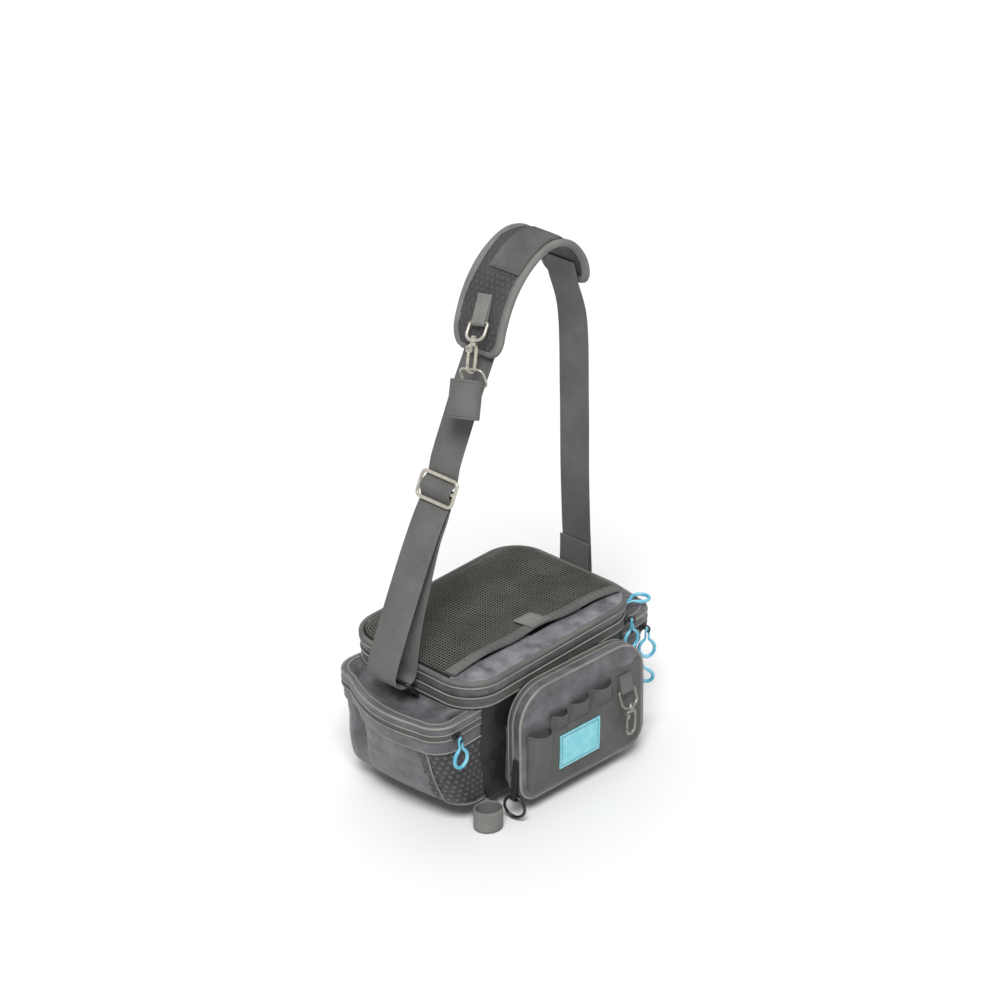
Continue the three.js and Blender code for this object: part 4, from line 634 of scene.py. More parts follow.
def makeLid():
    # a ring of tape and hinge round the plan, piping, a rolled edge, and a roof drawn in to its middle
    plain = softRings([0.0], [0.0])[0]
    back = int(np.argmax(plain[:, 1] - 0.01 * np.abs(plain[:, 0])))  # middle of the back, where rings start
    ring, inner = (np.roll(softRings(lidZip["heights"], lidZip[key]), -back, 1) for key in ("outer", "inner"))
    onZip = ring[1, :, 1] <= lidZip["hingeFromY"]
    behind = hingeRun(onZip, ring[1, :, 0] > 0)

    def zipPaint(middle):  # painted shade: the lower half of the tape is near black at the front, where the lid shades it
        return np.where((middle[:, 1] < lidZip["shadeY"]) & (middle[:, 2] < lidZip["middle"]), 1, 0)

    makePiece("lid_zip_tape", slab(ring[:, onZip], inner[:, onZip]), [zipTape, paintedShadeCloth], ["lid_zip"],
              paint=zipPaint)
    makePiece("lid_back_hinge", slab(ring[:, behind], inner[:, behind]), coatedPolyester, ["lid_hinge"])
    path = np.roll(softRings([lidZip["middle"]], [lidZip["coil"]]), -back, 1)[0][onZip]
    makePiece("lid_zip_coil", zipRow(path, outwards(path[None], False)[0][:1]), zipCoil,
              weld=False)
    pipes = [tube(softRings([z], [grow])[0], r, axisZ, loop=True) for z, grow, r in lidZip["pipes"]]
    makePiece("lid_piping", pipes, pipingCloth)
    z, grow, r = lid["edgeRoll"]
    makePiece("lid_edge_roll", tube(softRings([z], [grow])[0], r, axisZ, sides=14, loop=True), bindingTape)
    outer, inner = softRings(*smoothRows(lid["outside"], 44).T), softRings(*smoothRows(lid["inside"], 16).T)
    shrink = np.linspace(1, 0.03, 14)[1:, None, None]
    top = outer[-1:] * np.array([1, 1, 0]) * shrink + np.array([0, 0, outer[-1, 0, 2]])
    outer = np.concatenate([outer, top])
    loose = ease((outer[..., 2] - lid["looseFrom"]) / lid["looseFade"])
    bare = ease((netFrontAt(outer[..., 0]) - outer[..., 1]) / lid["bareFade"])
    outer[..., 2] += (rumple(outer, 0.3, 11) + bare * crumple(outer, 2.0, 12, 16, 40)) * loose
    rows = np.concatenate([inner, outer])

    def lidPaint(middle):  # bag cloth at the sides, painted light on a paler band before the net and painted shade under it
        upper = middle[:, 2] > lid["upper"]
        netted = middle[:, 1] > netFrontAt(middle[:, 0]) + lid["paintedShadeFrom"]
        return np.where(upper & netted, 2, np.where(upper, 1, 0))

    makePiece("lid_shell", shell(rows, uv=rows[..., :2]), [coatedPolyester, paintedLightPolyester, paintedShadeCloth],
              ["main_lid"], paint=lidPaint)


def netPoints(x, y, above):
    # the lid's roof read from the distance inside its edge, and a mouth that lifts and waves along the front
    dx, dy = np.abs(x) - flatX, np.abs(y) - flatY
    outside = np.hypot(np.maximum(dx, 0), np.maximum(dy, 0)) + np.minimum(np.maximum(dx, dy), 0)
    height, grow = np.array(lid["outside"][:1:-1]).T
    roof = np.interp(outside - bagPlan["corner"], grow, height)
    gape = np.clip((netFrontAt(x) + net["mouthDepth"] - y) / net["mouthDepth"], 0, 1) ** 2
    wave = 1 - net["wave"] + net["wave"] * np.cos(x / net["waveLength"])
    z = roof + net["lift"] + net["mouth"] * gape * (1 - (x / bagPlan["halfX"]) ** 2) * wave + above
    return np.stack([x, y, z], -1)


def netGrid(u, v, above):  # u from left to right and v from the mouth to the back, each from 0 to 1
    y = between(netFront(u), bagPlan["halfY"] - net["behind"], v)
    return netPoints((2 * u - 1) * sideX(y), y, above)


def strands(lines):  # many four-sided yarns at once; lines is [yarn, step, xyz]
    along = unit(np.gradient(lines, axis=1))
    side = unit(np.cross(along, axisZ))
    ring = fourCorners(side, net["flatten"] * np.cross(side, along))
    return threadSkin(lines[:, :, None] + net["yarn"] * ring, net["uvStep"])


def bindingRow(share, v):  # the plan of the tape on the net's front edge, v from its lip to its back
    y = netFront(share) + between(-netBinding["lip"], netBinding["depth"], v)
    return (2 * share - 1) * sideX(y), y


def makeNet():
    # two sets of yarns that pass over and under each other in turn, a tape along the mouth, and a pull tab
    wide = int(2 * bagPlan["halfX"] / net["pitch"])
    deep = int((bagPlan["halfY"] - net["right"]) / net["pitch"])
    u, v = np.meshgrid(np.linspace(0, 1, wide * 2 + 1), np.linspace(0, 1, deep * 2 + 1))
    over = np.add.outer(np.arange(deep * 2 + 1) // 2, np.arange(wide * 2 + 1) // 2) % 2
    weave = np.where(over, 1, -1)
    across = netGrid(u, v, net["above"] + net["weave"] * weave)
    along = netGrid(u, v, net["above"] - net["weave"] * weave)
    yarns = [strands(across[::2]), strands(along[:, ::2].transpose(1, 0, 2))]
    made = makePiece("lid_net", yarns, netYarn, ["lid_mesh"], weld=False, sharp=80)
    u, v = np.meshgrid(np.linspace(0, 1, 90), np.linspace(0, 1, 6))
    x, y = bindingRow(u, v)
    tapeTop = netBinding["above"] + netBinding["thickness"]
    bulge = netBinding["bulge"] * np.sin(np.pi * v)
    tape = slab(netPoints(x, y, tapeTop + bulge), netPoints(x, y, netBinding["above"]))
    edge = makePiece("net_binding", tape, bindingTape, ["mesh_binding"])
    u, v = np.meshgrid(np.linspace(-1, 1, 12), np.linspace(0, 1, 14))
    x = u * netTab["halfX"]
    y = netFrontAt(x) + netTab["depth"] * v - netTab["forward"]
    tabTop = netPoints(x, y, netTab["above"] + netTab["thickness"])
    tabSkin = slab(tabTop, netPoints(x, y, netTab["above"]))
    tab = makePiece("net_tab", tabSkin, paleWebbing, ["mesh_tab"])
    share = np.linspace(0.01, 0.99, 200)
    rows = [seam(netPoints(*bindingRow(share, v), tapeTop + 0.3), axisZ) for v in netBinding["seams"]]
    rows.append(seam(borderOf(tabTop) + 0.2 * axisZ, axisZ, loop=True))
    stitched = sew("net_stitches", rows)


makeLid()
makeNet()
print("lid and net made")

# end pockets, both written as if on the left; rows are height, back, front, bulge and crease, the rim is the
# same without its height, pipes are height, growth and radius, and the flap's rows are height and growth
endPocket = {"front": -92.0, "back": 96.0, "corner": 30.0, "creaseY": 52.0, "creaseWidth": 11.0,
             "wallGrow": 5.5, "wallBow": 3.0, "tuck": 3.2, "tuckMore": 8.0, "tuckBelow": 72.0,
             "tuckFade": 64.0, "frontTuck": 1.4, "slackFrom": 6.0, "slackHeight": 92.0, "freeX": 148.0,
             "freeFade": 14.0, "rumple": 1.7, "crumple": 2.6, "dotsY": -58.0, "dotsFrom": 12.0,
             "dotsTo": 95.0, "zip": (114.5, 120.8), "zipEdge": 1.6, "tapeOut": [0.2, 0.9, 0.9, 0.2],
             "tapeIn": [-2.4, -2.0, -2.0, -2.4], "coil": 1.2,
             "flap": [(121.4, 0.5), (126, 1.0), (129.6, 0.9), (131.4, -0.8), (132.3, -4)],
             "roof": 132.3, "slope": 0.02, "slopeFrom": 195.0, "spineEnds": (-66.0, 70.0),
             "spine": [(-96, -150), (-62, -182), (0, -190), (66, -176), (100, -140)],
             "dipY": 10.0, "dipFade": 60.0,
             "pipes": [(130.8, 0.6, 1.5), (121.6, 1.1, 1.0), (113.8, 0.9, 1.0), (96.4, 0.6, 1.0)]}
endSizes = {"left": {"rows": [(6, 155, 150, 2, 0), (13, 160, 158, 5, 3), (52, 165, 177, 12, 9),
                              (94, 168, 190, 15, 6), (98, 172, 194, 15, 2), (114, 174, 195, 15, 0)],
                     "rim": (174.0, 195.0, 15.0, 0.0), "dip": 21.0, "fold": 3.6, "seed": 21},
            "right": {"rows": [(6, 155, 148, 2, 0), (13, 160, 154, 5, 3), (52, 164, 166, 10, 7),
                               (94, 167, 175, 12, 5), (102, 170, 179, 13, 2), (114, 174, 188, 14, 0)],
                      "rim": (174.0, 188.0, 14.0, 0.0), "dip": 8.0, "fold": 1.6, "seed": 22}}


def wallX(y):  # where the side of the main compartment stands
    return -sideX(y, endPocket["wallGrow"], endPocket["wallBow"])


def endRings(z, backOut, frontOut, bulge, crease, grow, close=True):
    # from the back round the outer side to the front, then along the wall of the bag; the side bows as a sine
    # and is pinched by a bell curve at its crease
    z, backOut, frontOut, bulge, crease, grow = (
        np.array(a, float)[:, None] for a in np.broadcast_arrays(z, backOut, frontOut, bulge, crease, grow))
    p = endPocket
    r = p["corner"] + grow
    backX, frontX = p["corner"] - backOut, p["corner"] - frontOut
    backY, frontY = p["back"] - p["corner"], p["front"] + p["corner"]
    arc = np.radians(np.linspace(0, 90, 14))[None, :]
    run = np.linspace(0, 1, 8)[None, :]
    side = np.linspace(0, 1, 52)[None, 1:-1]
    sideY = between(backY, frontY, side)
    pinch = crease * np.exp(-(((sideY - p["creaseY"]) / p["creaseWidth"]) ** 2))
    full = np.ones_like(z)
    tuck = p["tuck"] + p["tuckMore"] * ease((p["tuckBelow"] - z) / p["tuckFade"])  # ends sewn down to the bag
    backWall, frontWall = wallX(p["back"]) * full, wallX(p["front"]) + p["frontTuck"] * tuck
    xs = [between(backWall, backX, run[:, :-1]), backX - r * np.sin(arc),
          between(backX, frontX, side) - r - bulge * np.sin(np.pi * side) + pinch,
          frontX - r * np.cos(arc), between(frontX, frontWall, run[:, 1:])]
    ys = [p["back"] + grow - tuck * (1 - run[:, :-1]) ** 2, backY + r * np.cos(arc), sideY * full,
          frontY - r * np.sin(arc), (p["front"] - grow) * np.ones_like(run[:, 1:])]
    if close:
        home = np.linspace(p["front"], p["back"], 34)[None, 1:-1]
        xs.append(wallX(home) * full)
        ys.append(home * full)
    x, y = np.concatenate(xs, 1), np.concatenate(ys, 1)
    return np.stack([x, y, z * np.ones_like(x)], -1)


def endRoof(p, edge):
    # rings drawn in from the flap's upper edge to a spine; they sink and fold most at the front
    outline = edge[-1]
    spineY, spineX = np.array(p["spine"], float).T
    middleY = np.clip(outline[:, 1], *p["spineEnds"])
    middleX = (np.interp(outline[:, 1], spineY, spineX) + wallX(middleY)) / 2
    share = np.linspace(0, 1, 22)[1:, None, None]
    roof = between(outline[None], np.stack([middleX, middleY, outline[:, 2]], -1)[None], share)
    front = ease((p["dipY"] - roof[..., 1]) / p["dipFade"])
    sink = p["dip"] * share[..., 0] ** 1.5 * (0.45 + 0.55 * front)
    fold = crumple(roof, p["fold"], p["seed"] + 9, 20, 46) * share[..., 0] ** 0.8 * (0.25 + 0.75 * front)
    roof[..., 2] += (roof[..., 0] + p["slopeFrom"]) * p["slope"] - sink + fold
    return roof


def endPipes(p, rim, ledge):
    # a welt where the roof sinks, cords round the pocket, one down its dotted panel and along its foot
    pipes = [tube(ledge + 0.5 * axisZ, 1.1, axisZ)]
    heights, *columns = np.array(p["rows"], float).T
    for z, grow, r in p["pipes"]:
        shape = [np.interp(z, heights, column) for column in columns] if z < heights[-1] else rim
        pipes.append(tube(endRings([z], *shape, [grow], close=False)[0], r, axisZ))
    rows = endRings(*smoothRows(p["rows"], 60).T, 0.25, close=False)
    middle = rows[30]
    column = int(np.argmin(np.abs(middle[:, 1] + 70) + 100 * (middle[:, 0] > -150)))
    upright, foot = rows[49:7:-1, column], rows[6, column + 2:-4]
    return pipes + [tube(evenly(np.vstack([upright, foot]), 90), 1.0, (0.35, -0.2, 1))]


def makeEndPocket(side):
    # rings lofted up the rows, slack where they stand free of the bag, then a zip, a flap and piping
    p = {**endPocket, **endSizes[side]}
    name = side + "_pocket"

    def put(one):  # the right pocket is the left one in a mirror
        return one if side == "left" else mirrored(one)

    knots = smoothRows(p["rows"], 46)
    rings = endRings(*knots.T, 0.0)
    slack = (np.sin(np.pi * np.clip((knots[:, 0] - p["slackFrom"]) / p["slackHeight"], 0, 1)) ** 0.7)[:, None]
    free = np.clip((np.abs(rings[..., 0]) - p["freeX"]) / p["freeFade"], 0, 1)
    loose = rumple(rings, p["rumple"], p["seed"]) + crumple(rings, p["crumple"], p["seed"] + 4, 28, 70)
    rings = rings - outwards(rings) * (loose * slack * free)[..., None]

    def panelPaint(middle):  # dotted cloth on the front corner
        upright = (middle[:, 2] > p["dotsFrom"]) & (middle[:, 2] < p["dotsTo"])
        return np.where(upright & (middle[:, 1] < p["dotsY"]), 1, 0)

    makePiece(name + "_shell", put(shell(rings)), [coatedPolyester, dottedPolyester], [name + "_body"],
              paint=panelPaint)
    low, high = p["zip"]
    rim = np.array(p["rim"])
    heights = [low, low + p["zipEdge"], high - p["zipEdge"], high]
    tape, tapeIn = (endRings(heights, *rim, p[key], close=False) for key in ("tapeOut", "tapeIn"))
    makePiece(name + "_zip_tape", put(slab(tape, tapeIn)), zipTape, [name + "_zip"])
    path = endRings([(low + high) / 2], *rim, [p["coil"]], close=False)[0]
    facing = -outwards(path[None], False)[0][40:41]
    makePiece(name + "_zip_coil", put(zipRow(path, facing)), zipCoil, weld=False)
    heights, grow = smoothRows(p["flap"], 14).T
    edge = endRings(heights, *rim, grow)
    roof = endRoof(p, edge)
    edge[-1, :, 2] += (edge[-1, :, 0] + p["slopeFrom"]) * p["slope"]
    edgeUv = np.stack([np.broadcast_to(np.arange(edge.shape[1]) * 4.0, edge.shape[:2]), edge[..., 2]], -1)
    flap = skin(np.concatenate([edge, roof]), loopAcross=True, capFirst=True,
                uv=np.concatenate([edgeUv, roof[..., :2]]))
    makePiece(name + "_flap", put(flap), coatedPolyester, [name + "_lid"])
    ledge = roof[2][edge[-1, :, 0] < wallX(edge[-1, :, 1]) - 2]
    makePiece(name + "_piping", [put(one) for one in endPipes(p, rim, ledge)], pipingCloth)


makeEndPocket("left")
makeEndPocket("right")
print("end pockets made")

# front pocket, in its own frame: x along the panel, -y outwards, then turned and moved to the bag;
# rows and lining are inset and depth, pipes are inset, depth and radius
frontPocket = {"centreX": 9.0, "panelY": -131.0, "yaw": -3.5, "tilt": -1.2, "halfX": 101.0, "bottom": 2.0,
               "top": 145.0, "lowCorner": 24.0, "highCorner": 44.0, "leastCorner": 4.0, "wall": 3.0,
               "rows": [(0, 13), (0, 2), (2, 0), (14, -1.5), (40, -3.4), (62, -4)],
               "lining": [(43, 0.4), (17, 1.5), (5, 3), (3, 6), (3, 13)],
               "slackX": 30.0, "slackZ": 22.0, "wornFrom": 96.0, "wornFade": 24.0, "sunk": 1.8,
               "zip": (13.5, 19.1), "zipEdge": 1.4, "tapeOut": [0.2, -0.7, -0.7, 0.2],
               "tapeIn": [3.0, 2.6, 2.6, 3.0], "coil": -1.0, "coilSlant": 0.1, "middleZ": 70.0,
               "hingeBelow": 36.0,
               "pipes": [(0.2, 1.6, 1.7), (-0.4, 12.8, 1.0), (-0.4, 20.0, 1.0)]}
gusset = {"near": 19.6, "far": 54.0, "backInset": 8.0, "slump": 1.2, "sink": 6.5, "sinkFrom": 95.0,
          "sinkFade": 30.0, "fold": 1.4, "bindingY": -104.0, "shadeZ": 95.0}
# slots are left, right, floor, mouth and depth; seams are place and foot
sleeves = {"halfX": 93.0, "top": 119.0, "sag": 1.6, "step": 3.0, "bottomInset": 8.0, "thickness": 1.8,
           "lift": 0.7, "edge": 1.1, "thread": 0.2,
           "slots": [(-90, -59, 20, 90, 13), (-56, -32, 83, 104, 9), (-28, 4, 85, 109, 9),
                     (8, 41, 86, 112, 10)],
           "seams": [(-91.2, 24), (-57.5, 30), (-30, 82), (6, 84), (42.6, 84)]}
label = {"left": -45.0, "right": 20.0, "bottom": 28.0, "top": 73.0, "thickness": 1.4, "gap": 0.3,
         "rimRise": 0.35, "rimWidth": 2.5, "seamInset": 3.0}


def onFront(points):
    # lowered to the top edge, tilted about x, turned about z, then moved out to the bag's front
    p = frontPocket
    yaw, tilt = math.radians(p["yaw"]), math.radians(p["tilt"])
    lean = np.array([[1, 0, 0], [0, math.cos(tilt), -math.sin(tilt)], [0, math.sin(tilt), math.cos(tilt)]])
    swing = np.array([[math.cos(yaw), -math.sin(yaw), 0], [math.sin(yaw), math.cos(yaw), 0], [0, 0, 1]])
    return (points - p["top"] * axisZ) @ (swing @ lean).T + np.array([p["centreX"], p["panelY"], p["top"]])


def frontWay(direction):  # a direction turned the same way
    return onFront(np.asarray(direction, float)) - onFront(np.zeros(3))


def archRings(inset, y):  # the arch of the pocket, shrunk by inset and set at a depth y
    p = frontPocket
    inset, y = (np.array(a, float) for a in np.broadcast_arrays(inset, y))
    low, high = (np.maximum(p[key] - inset, p["leastCorner"]) for key in ("lowCorner", "highCorner"))
    plan = roundOutline(p["halfX"] - inset, p["bottom"] + inset, p["top"] - inset, low, high,
                        np.zeros_like(inset))
    return np.stack([plan[..., 0], np.broadcast_to(y[:, None], plan.shape[:2]), plan[..., 1]], -1)


def panelFace(x, z):  # depth of the panel, from how far a point lies inside its outline
    p = frontPocket
    inset = np.minimum(np.minimum(p["halfX"] - np.abs(x), z - p["bottom"]), p["top"] - z)
    return np.interp(inset, *np.array(p["rows"][2:]).T)


def sleeveBow(x):  # one half sine across each slot, with the slot's own floor, mouth and depth
    bows = []
    for left, right, floor, mouth, depth in sleeves["slots"]:
        inside = (x > left) & (x < right)
        bows.append((np.where(inside, np.sin(np.pi * (x - left) / (right - left)), 0.0), floor, mouth, depth))
    return bows


def sleevePoints(x, z, out):  # the sheet bows off the panel at each slot, from its floor up to its mouth
    lift = np.zeros_like(x)
    for bow, floor, mouth, depth in sleeveBow(x):
        opened = np.clip((z - floor) / (mouth - floor), 0, 1)
        lift = lift + depth * np.sqrt(bow) * np.sin(opened * np.pi / 2)
    return np.stack([x, panelFace(x, z) - sleeves["lift"] - lift - out, z], -1)


def sleeveTop(x):  # the upper edge steps from mouth to mouth, sags across each and runs flat past the last
    slots, step = sleeves["slots"], sleeves["step"]
    top = np.full_like(x, slots[0][3])
    for left, right, floor, mouth, depth in slots[1:]:
        top = between(top, mouth, ease((x - left + step) / step))
    top = between(top, sleeves["top"], ease((x - slots[-1][1]) / step))
    return top - sleeves["sag"] * sum(bow for bow, *rest in sleeveBow(x))


def makeFrontPanel():
    # the arch lofted from its zip round the edge to a shallow face, whose upper part is worn into folds
    p = frontPocket
    outer = archRings(*smoothRows(p["rows"], 34).T)
    middle = outer[-1].mean(0)
    shrink = np.linspace(1, 0.04, 8)[1:, None, None]
    outer = np.concatenate([outer, between(middle, outer[-1:], shrink)])
    slack = (ease((p["halfX"] - np.abs(outer[..., 0])) / p["slackX"])
             * ease((p["top"] - outer[..., 2]) / p["slackZ"]))
    upper = ease((outer[..., 2] - p["wornFrom"]) / p["wornFade"])
    worn = rumple(outer, 1.0, 31, 30, 70) - p["sunk"] - crumple(outer, 2.6, 33, 24, 60)
    outer[..., 1] += worn * slack * upper * (outer[..., 1] < 1)
    whole = np.concatenate([archRings(*np.array(p["lining"]).T), outer])
    makePiece("front_panel", shell(onFront(whole), uv=whole[..., ::2]), coatedPolyester,
              ["front_pocket_panel"])


def makeFrontZip():
    # four arches a tape apart: the run above the hinge is zip, and the rest is hinge
    p = frontPocket
    low, high = p["zip"]
    depths = [low, low + p["zipEdge"], high - p["zipEdge"], high]
    ring, ringIn = archRings(p["tapeOut"], depths), archRings(p["tapeIn"], depths)
    start = int(np.argmin(ring[0, :, 2] + 0.01 * np.abs(ring[0, :, 0])))  # the middle of the foot
    ring, ringIn = np.roll(ring, -start, 1), np.roll(ringIn, -start, 1)
    onZip = ring[1, :, 2] >= p["hingeBelow"]
    below = hingeRun(onZip, ring[1, :, 0] <= 0)
    makePiece("front_zip_tape", slab(onFront(ring[:, onZip]), onFront(ringIn[:, onZip])), zipTape,
              ["front_pocket_zip"])
    makePiece("front_zip_hinge", slab(onFront(ring[:, below]), onFront(ringIn[:, below])), coatedPolyester,
              ["front_pocket_hinge"])
    middle = (low + high) / 2
    path = np.roll(archRings([p["coil"]], [middle]), -start, 1)[0][onZip]
    line = toothLine(path)
    spoke = evenly(unit(path - np.array([0, middle, p["middleZ"]])), len(line))
    coil = coilBeads(onFront(line), heading(line), frontWay(axisY), spoke, p["coilSlant"])
    makePiece("front_zip_coil", coil, zipCoil, weld=False)

def makeGusset():
    # the arch carried back to the bag, its top sinking on the way and its sides in folds, and the piping
    g = gusset
    share = np.linspace(0, 1, 12)
    inset = g["backInset"] * share + g["slump"] * np.sin(np.pi * share)
    depth = between(g["near"], g["far"], share)
    outer, inner = archRings(inset, depth), archRings(inset + frontPocket["wall"], depth)[::-1]
    for ring in (outer, inner):
        deep = ease((ring[..., 1] - g["near"]) / (g["far"] - g["near"]))
        ring[..., 2] -= g["sink"] * deep * ease((ring[..., 2] - g["sinkFrom"]) / g["sinkFade"])
        fold = (crumple(ring, g["fold"], 35, 20, 50) + 1) * np.sin(np.pi * deep)
        ring[..., 0] -= np.sign(ring[..., 0]) * fold

    def gussetPaint(middle):  # a bound edge, and painted shade on the top behind it
        return np.where(middle[:, 1] < g["bindingY"], 0, np.where(middle[:, 2] > g["shadeZ"], 1, 2))

    makePiece("front_gusset", shell(onFront(np.concatenate([outer, inner])), loop=True),
              [bindingTape, shadedPolyester, coatedPolyester], ["front_pocket_gusset"],
              paint=gussetPaint)
    pipes = [tube(onFront(archRings([inset], [y])[0]), r, frontWay(axisY), loop=True)
             for inset, y, r in frontPocket["pipes"]]
    makePiece("front_piping", pipes, pipingCloth)


def makeSleeves():
    # one sheet over the panel's lower part, open at its stepped upper edge
    p, thick = frontPocket, sleeves["thickness"]
    x = np.linspace(-1, 1, 181) * sleeves["halfX"]
    past = np.maximum(np.abs(x) - (p["halfX"] - p["lowCorner"]), 0)
    low = p["lowCorner"] - sleeves["bottomInset"]
    bottom = p["bottom"] + p["lowCorner"] - np.sqrt(np.maximum(low ** 2 - past ** 2, 0))
    top = sleeveTop(x)
    z = between(bottom, top, np.linspace(0, 1, 46)[:, None])
    grid = np.broadcast_to(x, z.shape)
    outer = sleevePoints(grid, z, thick)
    makePiece("tool_sleeves", slab(onFront(outer), onFront(sleevePoints(grid, z, 0.0)), uv=outer[..., ::2]),
              sleeveCloth, ["tool_panel"])
    edge = tube(onFront(sleevePoints(x, top, thick / 2)), sleeves["edge"], frontWay((0, 1, 0.2)), sides=8)
    makePiece("sleeve_edges", edge, sleeveCloth)
    lines = []
    for at, foot in sleeves["seams"]:
        head = sleeveTop(np.array([float(at)]))[0] - 1.5
        lines.append((np.full(40, at), np.linspace(foot, head, 40)))
    for left, right, floor, mouth, depth in sleeves["slots"][1:]:
        lines.append((np.linspace(left, right, 30), np.full(30, floor - 1.0)))
    outWay = frontWay(-axisY)
    rows = [seam(onFront(sleevePoints(*line, thick + sleeves["thread"])), outWay) for line in lines]
    wide, tall = label["right"] - label["left"], label["top"] - label["bottom"]
    u, v = np.meshgrid(np.linspace(0, 1, 24), np.linspace(0, 1, 18))
    x, z = label["left"] + wide * u, label["bottom"] + tall * v
    toRim = np.minimum(np.minimum(u, 1 - u) * wide, np.minimum(v, 1 - v) * tall)
    lip = label["rimRise"] * (ease(1 - toRim / label["rimWidth"]) - 1)
    out = thick + label["gap"]
    face = sleevePoints(x, z, out + label["thickness"] + lip)
    plate = slab(onFront(face), onFront(sleevePoints(x, z, out)), uv=face[..., ::2])
    makePiece("bare_label", plate, labelRubber, ["label_patch"])
    inset = label["seamInset"]
    left, right = label["left"] + inset, label["right"] - inset
    bottom, top = label["bottom"] + inset, label["top"] - inset
    x, z = evenly(np.array([(left, bottom), (right, bottom), (right, top), (left, top)]), 120, loop=True).T
    rows.append(seam(onFront(sleevePoints(x, z, out + label["thickness"])), outWay, pitch=4.0, length=2.8,
                     radius=0.3, loop=True))
    sew("sleeve_stitches", rows)


makeFrontPanel()
makeFrontZip()
makeGusset()
makeSleeves()
print("front pocket made")

# snap hooks in their own frame: x across the eye, y away from what carries it, z up the swivel axis;
# profiles are height and radius
eye = {"halfWidth": 12.5, "drop": 20.0, "corner": 9.0, "barCorner": 2.6, "wire": 1.75, "lean": 21.0,
       "collar": [(-22.2, 3.3), (-21.7, 3.8), (-17.8, 3.8), (-17.2, 3.2)]}
hook = {"halfWidth": 6.5, "wire": 1.9, "top": -25.3, "shoulder": -29.1, "bend": -49.7, "nose": -48.7,
        "cheek": 1.0, "stem": [(-26.3, 3.0), (-22.8, 3.4), (-22.5, 1.8), (-16.9, 1.8), (-16.8, 3.0),
                               (-16.2, 3.2), (-15.4, 2.6), (-14.9, 1.2)]}
gate = {"pivot": -31.7, "half": 2.0, "bar": 1.6, "end": -48.4, "gap": 0.3,
        "knuckle": [(-2, 1.7), (-1.7, 2.1), (1.7, 2.1), (2, 1.7)]}
foldTab = {"thickness": 1.5, "offset": 0.8, "gap": 0.3, "wrap": (38, 322), "seams": (0.62, 0.92),
           "seamInset": 2.0}
frontHook = {"x": 62.0, "barZ": 91.0, "tabTop": 111.0, "tabWidth": 19.0, "seamLift": 1.9}
leanOut = eye["drop"] * math.sin(math.radians(eye["lean"]))
hookFoot = np.array([0, leanOut, 0])
gatePivot = np.array([hook["halfWidth"], leanOut, gate["pivot"]])


def planeLoop(centre, right, up, halfRight, halfUp, lowCorner, highCorner=None):
    # a rounded rectangle in the plane of two unit vectors
    a, b, low, high = (np.array([v]) for v in (halfRight, halfUp, lowCorner, highCorner or lowCorner))
    plan = roundOutline(a, -b, b, low, high, np.zeros(1), 8, 8)[0]
    return centre + plan[:, :1] * np.asarray(right, float) + plan[:, 1:] * np.asarray(up, float)


def wireLoop(high, low, across, halfWidth, wire, corner, lowCorner=None):  # a ring of wire between two bars
    up = unit(high - low)
    loop = planeLoop((high + low) / 2, across, up, halfWidth, np.linalg.norm(high - low) / 2,
                     lowCorner or corner, corner)
    return tube(loop, wire, np.cross(across, up), sides=12, loop=True)


def eyeSkins():  # a leaning loop of wire, and the collar that the hook turns in
    loop = wireLoop(np.zeros(3), np.array([0, leanOut, -eye["drop"]]), axisX, eye["halfWidth"], eye["wire"],
                    eye["barCorner"], eye["corner"])
    return [loop, lathe(hookFoot, axisZ, eye["collar"])]


def hookSkins():
    # wire bent from the yoke over the top, down the back and round to the nose; stem, yoke, cheeks and pin
    w, top = hook["halfWidth"], hook["top"]
    bend = np.radians(np.linspace(180, 360, 9))
    over = [(w, hook["shoulder"]), (w * 0.8, top - 1.2), (w * 0.4, top), (-w * 0.4, top),
            (-w * 0.8, top - 1.2), (-w, hook["shoulder"])]
    line = smoothRows(np.vstack([over, np.c_[w * np.cos(bend), hook["bend"] + w * np.sin(bend)],
                                 [(w, hook["nose"])]]), 80)
    path = np.c_[line[:, 0], np.full(len(line), leanOut), line[:, 1]]
    inner = gate["half"] + gate["gap"]
    outer = inner + hook["cheek"]
    yoke = block((w, leanOut, hook["shoulder"] + 1.2), 2.5 * axisX, outer * axisY, 1.2 * axisZ)
    cheeks = [block(gatePivot + np.array([0, s * (inner + outer) / 2, 1.4]), 2.4 * axisX,
                    hook["cheek"] / 2 * axisY, 3.8 * axisZ, 0.5) for s in (-1, 1)]
    tip = outer + 0.2
    pin = lathe(gatePivot, axisY, [(-tip, 0.7), (-outer, 0.95), (outer, 0.95), (tip, 0.7)], 12)
    stem = lathe(hookFoot, axisZ, hook["stem"])
    return [tube(path, hook["wire"], axisY, sides=12), stem, yoke, pin, *cheeks]


def gateSkins():  # a round bar that hangs from its knuckle
    length = gate["pivot"] - gate["end"]
    bar = [(1.2, 1.2), (2.4, gate["bar"]), (length - 0.8, gate["bar"]), (length, 1.0)]
    return [lathe(gatePivot, -axisZ, bar, 12), lathe(gatePivot, axisY, gate["knuckle"], 14)]


def makeHook(name, finish, move, moveHook, hookBody, gateBody):  # the three pieces of a snap hook
    for part, skins, node, way, body in (("loop", eyeSkins, "eye", move, "bag"),
                                         ("wire", hookSkins, "body", moveHook, hookBody),
                                         ("latch", gateSkins, "gate", moveHook, gateBody)):
        makePiece(name + "_" + part, placed(skins(), way), finish, [name + "_" + node], body)


